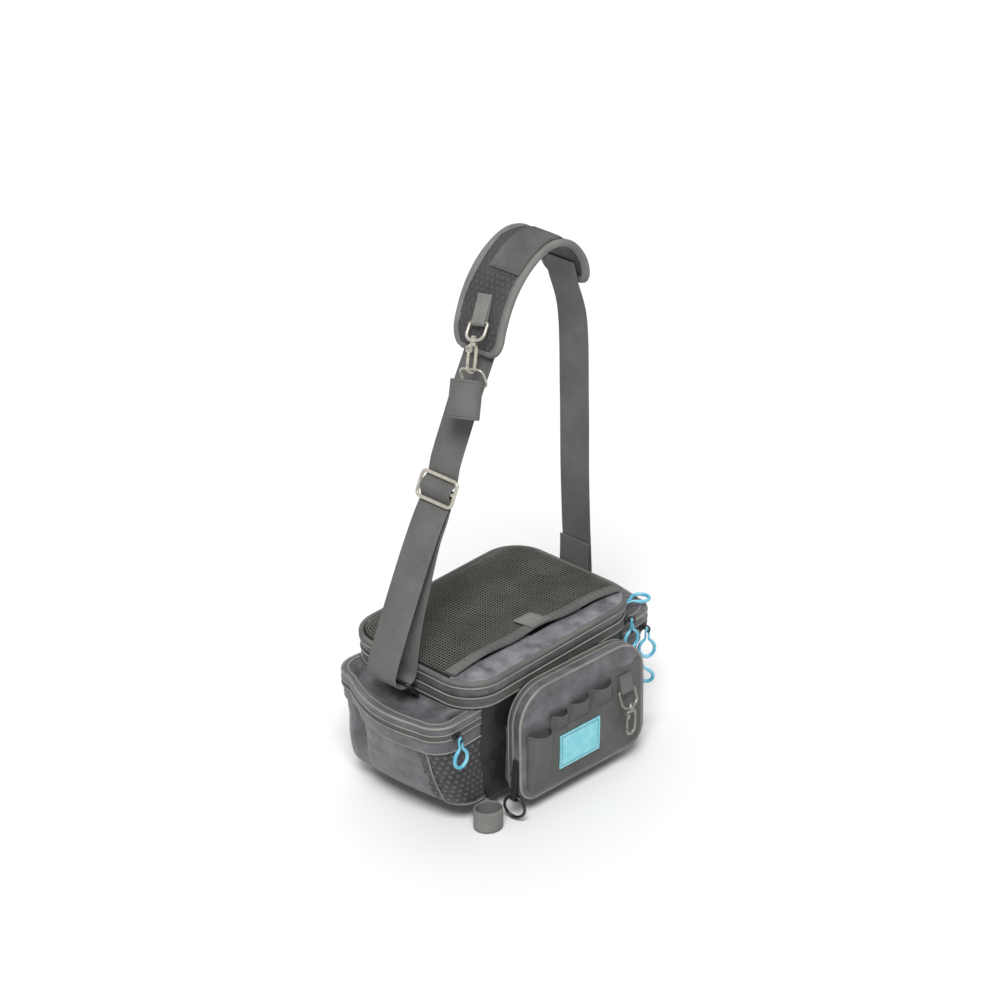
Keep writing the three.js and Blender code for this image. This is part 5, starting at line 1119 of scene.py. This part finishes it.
def makeTab(name, bar, end, hole, width, axis, finish, node):
    # webbing from its sewn end, round the bar and back on itself
    axis = unit(np.asarray(axis, float))
    along = unit(end - bar)
    over = np.cross(axis, along)
    offset = foldTab["offset"]
    angle = np.radians(np.linspace(*foldTab["wrap"], 22))[:, None]
    turn = bar + (hole + offset) * (np.cos(angle) * along + np.sin(angle) * over)
    path = np.vstack([between(end + over * offset, turn[0], np.linspace(0, 0.85, 6)[:, None]), turn,
                      between(turn[-1], end - over * offset, np.linspace(0.15, 1, 6)[:, None])])
    makePiece(name, ribbon(evenly(path, 60), axis, width, foldTab["thickness"]), finish, [node])


def tabSeams(bar, end, axis, width, over, lift):  # rows of thread across the middle and near the end
    half = unit(np.asarray(axis, float)) * (width / 2 - foldTab["seamInset"])
    middles = [between(bar, end, at) + over * lift for at in foldTab["seams"]]
    return [seam(np.vstack([m - half, m + half]), over, pitch=3.4, length=2.4) for m in middles]


def makeFrontHook():  # a snap hook that hangs in a folded tab on the panel
    h = frontHook
    sheet = sleeves["lift"] + sleeves["thickness"]
    seat = float(panelFace(h["x"] - h["tabWidth"] / 2, h["barZ"])) - sheet - foldTab["gap"]
    hole = eye["wire"] + foldTab["gap"]
    bar = np.array([h["x"], seat - hole - 2 * foldTab["offset"], h["barZ"]])
    end = np.array([h["x"], seat - foldTab["thickness"], h["tabTop"]])

    def move(points):  # the hook's frame turned half round, at the bar
        return onFront(bar + points * np.array([-1.0, -1, 1]))

    makeHook("front_hook", greyMetal, move, move, "front_hook", "front_gate")
    bar, end, across = onFront(bar), onFront(end), frontWay(axisX)
    makeTab("front_hook_webbing", bar, end, hole, h["tabWidth"], across, greyWebbing, "hook_tab")
    sew("front_hook_stitches", tabSeams(bar, end, across, h["tabWidth"], frontWay(-axisY), h["seamLift"]))


makeFrontHook()

# zip sliders, and the moulded loops that hang from them; half is an outline of the pull, down and sideways
slider = {"along": 11.0, "up": 8.0, "depth": 4.0, "gap": 0.3, "reach": 5.0, "lug": 4.0, "wire": 0.95,
          "onLid": 6.5, "facet": 11.25, "onEnd": 0.8, "endTurn": 268.0, "onFront": (0.8, 16.3, 100.0)}
pull = {"thin": 1.35, "thick": 2.15, "neckEnd": 12.0, "ringFrom": 19.0, "turnFrom": 4.0, "turnFade": 10.0,
        "half": [(-0.9, 0), (0.6, 1.9), (3.6, 2.9), (7, 2.7), (11, 2.1), (14.5, 2.6), (18, 6), (22.5, 8.8),
                 (27.5, 9.5), (32.5, 8.6), (36.5, 5.6), (38.6, 2)]}


def nodeOf(name, kind):  # the lid's two sliders and pulls have their letter last
    return name.replace("lid", "lid_" + kind) if name.startswith("lid") else name + "_" + kind


def makeSlider(name, point, out, fall, swing):
    # a squared block on the zip, a lug that stands out of it, and a pull: half an outline and its mirror
    point, out = np.asarray(point, float), unit(np.asarray(out, float))
    side = unit(np.cross(axisZ, out))
    half = slider["depth"] / 2
    centre = point + out * (slider["gap"] + half)
    plate = block(centre, side * slider["along"] / 2, axisZ * slider["up"] / 2, out * half, 0.45)
    nose = block(centre + side * 3.0, side * 3.4, axisZ * 3.0, out * (half + 0.3), 0.6)
    hub = point + out * (slider["gap"] + slider["depth"] + slider["reach"])
    angle = wholeTurn(28)[:, None]
    lug = hub + slider["lug"] * (np.cos(angle) * out + np.sin(angle) * axisZ)
    makePiece(name + "_car", [plate, nose, tube(lug, slider["wire"], side, loop=True)], blackMetal,
              [nodeOf(name, "slider")])
    right = np.array(pull["half"])
    whole = np.vstack([right, right[:0:-1] * (1, -1), right[:1]])
    down, across = np.hsplit(evenly(smoothRows(whole, 160), 110)[:-1], 2)
    turned = math.cos(math.radians(swing)) * side + math.sin(math.radians(swing)) * out
    turned = unit(turned - fall * (turned @ fall))
    freed = ease((down - pull["turnFrom"]) / pull["turnFade"])  # the eye stays in its lug, the rest turns
    path = hub + unit(between(side, turned, freed)) * across + fall * down
    bulk = ease((down[:, 0] - pull["neckEnd"]) / (pull["ringFrom"] - pull["neckEnd"]))
    loop = tube(path, between(pull["thin"], pull["thick"], bulk), np.cross(turned, fall), sides=12, loop=True)
    makePiece(name + "_grip", loop, blueRubber, [nodeOf(name, "pull")])


def makeSliders():  # two on a corner of the lid, one on each pocket
    s, down = slider, -axisZ
    corner = np.array([flatX, -flatY, lidZip["middle"]])
    reach = (bagPlan["corner"] + s["onLid"]) * math.cos(math.radians(s["facet"]))
    out = levelWay(-5 * s["facet"])
    makeSlider("lid_a", corner + out * reach, out, down, 45)
    out = levelWay(-s["facet"])
    makeSlider("lid_b", corner + out * reach, out, unit(out + down * 0.1), 0)  # lies on the right pocket
    for side, sign, swing in (("left", 1.0, 2), ("right", -1.0, 40)):
        out = levelWay(s["endTurn"]) * np.array([sign, 1, 1])
        corner = np.array([sign * (endPocket["corner"] - endSizes[side]["rim"][1]),
                           endPocket["front"] + endPocket["corner"], sum(endPocket["zip"]) / 2])
        makeSlider(side + "_pocket", corner + out * (endPocket["corner"] + s["onEnd"]), out, down, swing)
    out = frontWay(axisX)
    place = onFront(np.array(s["onFront"]) + frontPocket["halfX"] * axisX)
    makeSlider("front_pocket", place, out, unit(out * 0.42 + down), -40)


makeSliders()
print("hooks and sliders made")

# shoulder pad: a padded strip along a curve over the shoulder; the patch is shares of its length
pad = {"width": 66.0, "thickness": 10.0, "seat": 0.6, "endShare": 0.09, "endWidth": 0.62, "swell": 1.3,
       "path": [(-28, 0, 521), (-20, 0, 555), (-2, 0, 590), (26, 0, 616), (60, 0, 628), (90, 0, 620),
                (112, 0, 596), (123, 0, 562)],
       "voxel": 0.0045, "pressure": 4.0, "frames": 20, "cap": 0.0017, "patch": (0.355, 0.65),
       "patchSides": (-30.5, 12.0), "patchThickness": 1.4, "patchGap": 0.3, "droop": 0.9, "droopHalf": 31.0,
       "tapeHalf": (5.4, 4.3), "tapeIn": 0.9, "seamInset": 4.0, "seamOut": 4.6}
padThread = {"pitch": 4.2, "length": 3.0, "radius": 0.36}
padLine = smoothRows(pad["path"], 400)


def padFrame(t):  # point and outward normal of the pad's middle line
    t = np.atleast_1d(np.asarray(t, float))
    ahead, behind = np.minimum(t + 1e-4, 1), np.maximum(t - 1e-4, 0)
    along = unit(curveAt(pad["path"], ahead) - curveAt(pad["path"], behind))
    return curveAt(pad["path"], t), np.cross(along, axisY)


def padWidth(t):  # the ends draw in on a quarter circle
    near = np.minimum(np.minimum(t, 1 - t) / pad["endShare"], 1)
    return pad["width"] * between(pad["endWidth"], 1, np.sqrt(np.maximum(1 - (1 - near) ** 2, 0)))


def vertexPlaces(mesh):  # every vertex as a row of xyz
    places = np.empty(len(mesh.vertices) * 3, np.float32)
    mesh.vertices.foreach_get("co", places)
    return places.reshape(-1, 3)


def padUv(mesh):  # across the pad and along its line, found from the nearest point of that line
    points = (vertexPlaces(mesh) - bagOrigin) * mmPerMetre
    gap = ((points[:, None, ::2] - padLine[None, :, ::2]) ** 2).sum(-1)
    reach = reachOf(padLine)[gap.argmin(1)]
    corner = np.empty(len(mesh.loops), np.int32)
    mesh.loops.foreach_get("vertex_index", corner)
    uv = np.stack([points[:, 1], reach], -1)[corner] / mmPerMetre
    layer = mesh.uv_layers.get("cut") or mesh.uv_layers.new(name="cut")
    layer.data.foreach_set("uv", uv.astype(np.float32).ravel())


def swell(made):
    # cloth under pressure: an even remesh, some frames without gravity, and no point moves past the cap
    scene = bpy.context.scene
    bpy.context.view_layer.objects.active = made
    remesh = made.modifiers.new("even", "REMESH")
    remesh.mode, remesh.voxel_size = "VOXEL", pad["voxel"]
    start = bpy.data.meshes.new_from_object(made.evaluated_get(bpy.context.evaluated_depsgraph_get()))
    made.modifiers.clear()
    made.data = start
    cloth = made.modifiers.new("puff", "CLOTH")
    cloth.settings.use_pressure = True
    cloth.settings.uniform_pressure_force = pad["pressure"]
    cloth.settings.effector_weights.gravity = 0.0
    cloth.point_cache.frame_start, cloth.point_cache.frame_end = 1, pad["frames"]
    for step in range(1, pad["frames"] + 1):
        scene.frame_set(step)
    rest = vertexPlaces(start)
    step = vertexPlaces(made.evaluated_get(bpy.context.evaluated_depsgraph_get()).data) - rest
    made.modifiers.clear()
    scene.frame_set(1)
    step *= np.minimum(1, pad["cap"] / np.maximum(np.linalg.norm(step, axis=1, keepdims=True), 1e-9))
    start.vertices.foreach_set("co", (rest + step).astype(np.float32).ravel())
    start.polygons.foreach_set("use_smooth", np.ones(len(start.polygons), bool))
    start.update()


def makePad():
    # a squared ring carried along the line and swelled by cloth, an edge tape, a patch and rows of thread
    t = np.linspace(0, 1, 90)
    point, out = padFrame(t)
    angle = wholeTurn(40)
    wide, thick = squared(np.cos(angle), 0.4) / 2, squared(np.sin(angle), 0.7)
    half = (pad["thickness"] / 2 - pad["swell"]) * np.where(np.minimum(t, 1 - t) < 0.01, 0.6, 1.0)
    rings = (point[:, None] + axisY * (wide * padWidth(t)[:, None])[..., None]
             + out[:, None] * (thick * half[:, None])[..., None])
    made = makePiece("pad_cushion", shell(rings), padPolyester, ["shoulder_pad"])
    swell(made)
    padUv(made.data)
    if not made.data.materials:
        made.data.materials.append(padPolyester)
    finer = made.modifiers.new("finer", "SUBSURF")
    finer.levels = finer.render_levels = 1
    share = np.linspace(0, 1, 110)
    there, sign = np.r_[share, share[::-1]], np.repeat([0.5, -0.5], len(share))
    point, out = padFrame(there)
    path = point + axisY * (sign * padWidth(there))[:, None]
    side = unit(np.cross(out, heading(path, True)))
    spin = wholeTurn(14)[:, None]
    sideHalf, outHalf = pad["tapeHalf"]
    ring = (path[:, None] - side[:, None] * pad["tapeIn"] + side[:, None] * (np.cos(spin) * sideHalf)
            + out[:, None] * (np.sin(spin) * outHalf))
    makePiece("pad_edge_tape", shell(ring, loop=True), padTape, ["pad_binding"], sharp=75)
    u, v = np.meshgrid(np.linspace(*pad["patchSides"], 20), np.linspace(*pad["patch"], 40))
    point, out = (a.reshape(*v.shape, 3) for a in padFrame(v.ravel()))
    base = pad["thickness"] / 2 + pad["patchGap"]
    droop = pad["droop"] * np.abs(u[..., None] / pad["droopHalf"]) ** 4
    flat = point + axisY * u[..., None]
    face = flat + out * (base + pad["patchThickness"] - droop)
    makePiece("pad_bare_patch", slab(face, flat + out * (base - droop)), patchCloth, ["pad_patch"])
    rows = [seam(borderOf(face) + borderOf(out) * 0.15, axisZ, loop=True, **padThread)]
    share = np.linspace(0.03, 0.97, 120)
    point, out = padFrame(share)
    for sign in (-1, 1):
        across = sign * (padWidth(share) / 2 - pad["seamInset"])
        line = point + axisY * across[:, None] + out * pad["seamOut"]
        rows.append(seam(line, axisZ, **padThread))
    sew("pad_stitches", rows)


makePad()
print("pad made")

# strap: a left leg through the adjuster and round its ring, and a right leg sewn round its ring;
# threading and returnEnd are pairs along and off the left leg, counted from the adjuster
strap = {"width": 45.0, "thickness": 1.8, "legTop": (-24.0, 0, 518.0), "legFoot": (-187.0, 0, 178.0),
         "turn": 17.5, "wrap": 205.0, "back": [(-146, 0, 215), (-131, 0, 265), (-113, 0, 317)],
         "adjusterZ": 371.0, "underLeft": [0.13, 0.08, 0.04, 0], "underRight": [0.88, 0.93, 0.97, 1],
         "right": [(132, 0, 515), (142, 3, 400), (148, 6, 300), (154, 8, 225), (158, 9, 182)],
         "tail": [(152, 9, 170), (152.4, 9, 186), (152.2, 9, 202)],
         "threading": [(120, 0), (80, 0), (45, 0), (30, -0.8), (22, -2.4), (15, -3.7), (11, -2.4), (7.5, 0),
                       (4, 2.4), (0, 3.7), (-4, 2.4), (-7.5, 0), (-11, -2.4), (-15, -3.7), (-22, -2.8),
                       (-32, -1.2), (-60, 0.8), (-110, 2)],
         "returnEnd": [(-32, -7.4), (-15, -6.4), (-7, -4.9), (0, -3.7), (4, -3.7)],
         "seams": [(158.6, 174), (158.59186, 188), (157.47558, 200)], "seamEnds": (-11.0, 29.0)}
adjuster = {"halfLength": 15.0, "halfWidth": 26.7, "wire": 2.2, "corner": 6.0, "flatten": 0.85, "bar": 0.95}
ringSize = {"halfWidth": 26.3, "wire": 2.3, "corner": 5.0, "gap": 0.3, "tabWidth": 41.0, "tabEnd": 148.5,
            "tabLift": 1.8}
ringBars = {"left": ((-155, 0, 137.8), (-171, 0, 157.5)), "right": ((155, 9, 137.8), (155.5, 9, 162))}
legFoot = np.array(strap["legFoot"])
legUp = unit(np.array(strap["legTop"]) - legFoot)
legOut = np.array([-legUp[2], 0, legUp[0]])
adjusterAt = (strap["adjusterZ"] - legFoot[2]) / legUp[2]


def onLeg(pairs, offset=0.0):  # along and off the straight left leg
    pairs = np.asarray(pairs, float)
    return legFoot + (pairs[:, :1] + offset) * legUp + pairs[:, 1:] * legOut


def underPad(t):  # the strap's line below the pad
    point, out = padFrame(t)
    return point - out * (pad["thickness"] / 2 + pad["seat"] + strap["thickness"] / 2)


def uprightArc(centre, radius, angle):  # an arc in the plane of the strap
    return centre + radius * np.stack([np.cos(angle), np.zeros(len(angle)), np.sin(angle)], -1)


def makeStraps():
    # ribbons through the knots of each leg, an adjuster of bent wire, and a ring in a tab on each end pocket
    s, a = strap, adjuster
    angle = math.atan2(legOut[2], legOut[0]) + np.radians(np.linspace(0, s["wrap"], 9))
    turn = uprightArc(onLeg([(0, -s["turn"])])[0], s["turn"], angle)
    left = np.vstack([underPad(s["underLeft"]), onLeg(s["threading"], adjusterAt), turn, s["back"],
                      onLeg(s["returnEnd"], adjusterAt)])
    reach = ringSize["wire"] + ringSize["gap"] + s["thickness"] / 2
    turn = uprightArc(np.array(ringBars["right"][1]), reach, -np.pi * np.linspace(0, 1, 7))
    right = np.vstack([underPad(s["underRight"]), s["right"], turn, s["tail"]])
    for side, knots, count in (("left", left, 420), ("right", right, 260)):
        leg = ribbon(smoothRows(knots, count), axisY, s["width"], s["thickness"])
        makePiece("strap_" + side + "_leg", leg, greyWebbing, ["strap_" + side])
    near, far = s["seamEnds"]
    sew("strap_stitches", [seam(np.array([(x, near, z), (x, far, z)]), axisX, pitch=3.4, length=2.4)
                           for x, z in s["seams"]])
    middle = onLeg([(adjusterAt, 0)])[0]
    loop = planeLoop(middle, axisY, legUp, a["halfWidth"], a["halfLength"], a["corner"])
    bar = np.linspace(-a["halfWidth"], a["halfWidth"], 12)[:, None] * axisY + middle
    makePiece("strap_triglide", [tube(loop, a["wire"], legOut, sides=12, loop=True, flatten=a["flatten"]),
                                 tube(bar, a["wire"] * a["bar"], legOut, sides=12)],
              boneMetal, ["strap_adjuster"])
    r = ringSize
    roof = endPocket["roof"] + (endPocket["slopeFrom"] - r["tabEnd"]) * endPocket["slope"] + r["tabLift"]
    for side, bars in ringBars.items():
        low, high = np.array(bars, float)
        makePiece(side + "_strap_ring", wireLoop(high, low, axisY, r["halfWidth"], r["wire"], r["corner"]),
                  blackMetal, [side + "_ring"])
        end = np.array([math.copysign(r["tabEnd"], low[0]), low[1], roof])
        makeTab(side + "_ring_webbing", low, end, r["wire"] + r["gap"], r["tabWidth"], axisY, blackWebbing,
                side + "_ring_tab")


makeStraps()
print("straps made")

# upper cuff: a snap hook off the pad, a wide ring, and a band of webbing
upperBand = {"halfX": 21.0, "halfY": 13.0, "thickness": 2.4, "top": -64.0, "height": 44.0, "shiftY": 4.6,
           "seamInset": 3.0, "seamOut": 0.1}
upperRing = {"wire": 1.5, "halfWidth": 16.0, "topZ": -52.5, "barZ": -69.7, "barIn": 13.3, "corner": 6.0,
           "gap": 0.3, "tabWidth": 18.0, "tabEnd": -97.0, "tabLean": 3.0}
padTab = {"barAt": 0.135, "endAt": 0.245, "stand": 5.8, "y": -6.0, "skew": 5.0, "width": 19.0, "hole": 2.6}
chainUp = unit(np.array([0.39, 0.22, 0.9]))
chainOut = unit(legOut - chainUp * (legOut @ chainUp))
chainAcross = np.cross(chainOut, chainUp)


def padOutside(t, height):  # a point off the pad's outer face, in line with the chain
    point, out = padFrame(t)
    place = (point + out * height)[0]
    place[1] = padTab["y"]
    return place


padBar = padOutside(padTab["barAt"], padTab["stand"] + padTab["hole"] + 2 * foldTab["offset"])


def onChain(points):  # from a hook's own frame to the chain that hangs off the pad
    return padBar + points @ np.stack([chainAcross, chainOut, chainUp])


def turnedOnChain(points):  # the hook is turned a quarter about its swivel axis
    moved = points - hookFoot
    return onChain(np.stack([-moved[:, 1], moved[:, 0] + leanOut, moved[:, 2]], -1))


def bandPath(centre, right, forward, halfRight, halfForward):  # an ellipse on two directions
    angle = wholeTurn(72)[:, None]
    return centre + np.cos(angle) * halfRight * right + np.sin(angle) * halfForward * forward


def makeUpperCuff():  # a hook, a ring and an elliptical cuff in line down the chain
    makeHook("rod_hook", boneMetal, onChain, turnedOnChain, "bag", "rod_gate")
    end = padOutside(padTab["endAt"], padTab["stand"] + foldTab["thickness"]) + padTab["skew"] * axisY
    makeTab("pad_hook_webbing", padBar, end, padTab["hole"], padTab["width"], chainAcross, paleWebbing,
            "pad_tab")
    r, b = upperRing, upperBand
    high, low = np.array([0, leanOut, r["topZ"]]), np.array([0, leanOut - r["barIn"], r["barZ"]])
    ring = wireLoop(high, low, axisX, r["halfWidth"], r["wire"], r["corner"])
    makePiece("rod_wide_ring", placed([ring], onChain), boneMetal, ["rod_ring"])

    def cuffPath(z, grow):  # the ellipse of the cuff at a height
        return onChain(bandPath(np.array([0, leanOut + b["shiftY"], z]), axisX, axisY, b["halfX"] + grow,
                                b["halfY"] + grow))

    path = cuffPath(b["top"] - b["height"] / 2, -b["thickness"] / 2)
    makePiece("rod_cuff", ribbon(path, chainUp, b["height"], b["thickness"], loop=True), greyWebbing,
              ["rod_band"])
    bar, end = onChain(np.array([low, [0, low[1] + r["tabLean"], r["tabEnd"]]]))
    makeTab("rod_cuff_webbing", bar, end, r["wire"] + r["gap"], r["tabWidth"], chainAcross, greyWebbing,
            "rod_band_tab")
    edges = (b["top"] - b["seamInset"], b["top"] - b["height"] + b["seamInset"])
    sew("rod_cuff_stitches", [seam(cuffPath(z, b["seamOut"]), (0.1, 0.2, 1), pitch=4.2, length=3.0, loop=True)
                              for z in edges])


makeUpperCuff()

# lower cuff, the black ring on the front pocket's left side and the black loop on its right side
lowerBand = {"way": (-0.45, -0.893, 0), "halfRight": 17.5, "halfOut": 15.0, "thickness": 2.4, "bottom": -18.0,
             "top": 8.0, "standOff": 4.6, "tabFrom": 35.5, "tabTo": 42.2, "tabZ": 3.0, "tabSize": (18.0, 5.0)}
cornerRing = {"radius": 13.5, "wire": 1.9, "twist": -15.0, "y": 6.5, "barZ": 12.0, "tabTop": 60.0,
              "width": 8.0, "hole": 3.3, "hang": 0.4}
sideLoop = {"y": 32.0, "width": 9.0, "thickness": 1.8, "gap": 0.3,
            "path": [(0, 30), (0, 68), (4, 73), (9, 81), (10.5, 89), (8, 98), (3, 105), (0, 108), (0, 116)]}


def makeLowerPieces():
    # an elliptical cuff at the bag's corner, a hoop in a tab, and a loop that stands off the gusset's slope
    b = lowerBand
    out = unit(np.array(b["way"]))
    right = np.cross(out, axisZ)
    corner = np.array([-flatX, -flatY, 0])
    reach = bagPlan["corner"] + b["standOff"] + b["halfOut"]
    centre = corner + out * reach + axisZ * (b["bottom"] + b["top"]) / 2
    inset = b["thickness"] / 2
    path = bandPath(centre, right, out, b["halfRight"] - inset, b["halfOut"] - inset)
    makePiece("lower_cuff", ribbon(path, axisZ, b["top"] - b["bottom"], b["thickness"], loop=True),
              paleWebbing, ["lower_band"])
    tab = corner + out * np.linspace(b["tabFrom"], b["tabTo"], 6)[:, None] + axisZ * b["tabZ"]
    makePiece("lower_cuff_webbing", ribbon(tab, right, *b["tabSize"]), paleWebbing, ["lower_band_tab"])
    c = cornerRing
    sideAt = -frontPocket["halfX"] - foldTab["gap"]
    bar = np.array([sideAt - c["hole"] - 2 * foldTab["offset"], c["y"], c["barZ"]])
    end = np.array([sideAt - foldTab["thickness"], c["y"], c["tabTop"]])
    makeTab("corner_webbing", onFront(bar), onFront(end), c["hole"], c["width"], frontWay(axisY),
            blackWebbing, "corner_tab")
    twist = math.radians(c["twist"])
    across = np.array([math.sin(twist), math.cos(twist), 0])
    angle = wholeTurn(56)[:, None]
    drop = -axisZ * (c["radius"] * (1 - np.cos(angle)) - c["hang"])
    loop = onFront(bar + drop + across * c["radius"] * np.sin(angle))
    makePiece("corner_hoop", tube(loop, c["wire"], frontWay(np.cross(across, axisZ)), sides=12, loop=True),
              blackMetal, ["corner_ring"])
    s = sideLoop
    slope = unit(np.array([-gusset["backInset"], gusset["far"] - gusset["near"], 0]))
    away = np.array([slope[1], -slope[0], 0])
    foot = np.array([frontPocket["halfX"], gusset["near"], 0]) + slope * (s["y"] - gusset["near"])
    pairs = smoothRows(s["path"], 60)
    path = foot + away * (s["gap"] + s["thickness"] / 2 + pairs[:, :1]) + axisZ * pairs[:, 1:]
    makePiece("side_webbing_loop", ribbon(onFront(path), frontWay(slope), s["width"], s["thickness"]),
              blackWebbing, ["side_loop"])


makeLowerPieces()
print("cuffs and rings made")

# camera at the photograph's angle, pale floor and soft light; a lamp is its name, azimuth, elevation,
# strength and the angle that it fills
shot = {"azimuth": -47.5, "elevation": 28.5, "distance": 3.5, "lens": 109.6, "sensor": 36.0, "clipEnd": 50.0,
        "aim": (4.7, -5.1, 319.0), "lamps": [("key", -50, 56, 2.85, 24), ("back", 150, 60, 0.7, 60)],
        "sky": 0.29, "floorHalf": 9.0, "floorBelow": 0.002}


def fromSide(azimuth, elevation):  # the way to something seen at that azimuth and elevation
    a, e = math.radians(azimuth), math.radians(elevation)
    return Vector((math.sin(a) * math.cos(e), -math.cos(a) * math.cos(e), math.sin(e)))


def addLooking(name, data, way):  # an object that looks back along a way
    made = bpy.data.objects.new(name, data)
    made.rotation_euler = (-way).to_track_quat("-Z", "Y").to_euler()
    bpy.context.scene.collection.objects.link(made)
    return made


def makeStudio():  # camera, lamps, an even sky and a paper floor
    scene = bpy.context.scene
    back = fromSide(shot["azimuth"], shot["elevation"])
    camera = addLooking("camera", bpy.data.cameras.new("camera"), back)
    camera.location = Vector(np.array(shot["aim"]) / mmPerMetre + bagOrigin) + back * shot["distance"]
    camera.data.lens, camera.data.sensor_width = shot["lens"], shot["sensor"]
    camera.data.clip_end = shot["clipEnd"]
    scene.camera = camera
    for name, azimuth, elevation, strength, softness in shot["lamps"]:
        lamp = addLooking(name, bpy.data.lights.new(name, "SUN"), fromSide(azimuth, elevation))
        lamp.data.energy, lamp.data.angle = strength, math.radians(softness)
    world = bpy.data.worlds.new("studio")
    world.use_nodes = True
    sky = world.node_tree.nodes["Background"].inputs
    sky["Color"].default_value = linear("#ffffff")
    sky["Strength"].default_value = shot["sky"]
    scene.world = world
    scene.view_settings.view_transform = "Standard"
    paper = newFinish("backdropPaper", {"Base Color": linear("#efefef"), "Roughness": 0.9})[0]
    mesh = bpy.data.meshes.new("floor")
    r, z = shot["floorHalf"], cadLow.z - shot["floorBelow"]
    mesh.from_pydata([(-r, -r, z), (r, -r, z), (r, r, z), (-r, r, z)], [], [(0, 1, 2, 3)])
    mesh.materials.append(paper)
    floor = bpy.data.objects.new("floor", mesh)
    scene.collection.objects.link(floor)


makeStudio()
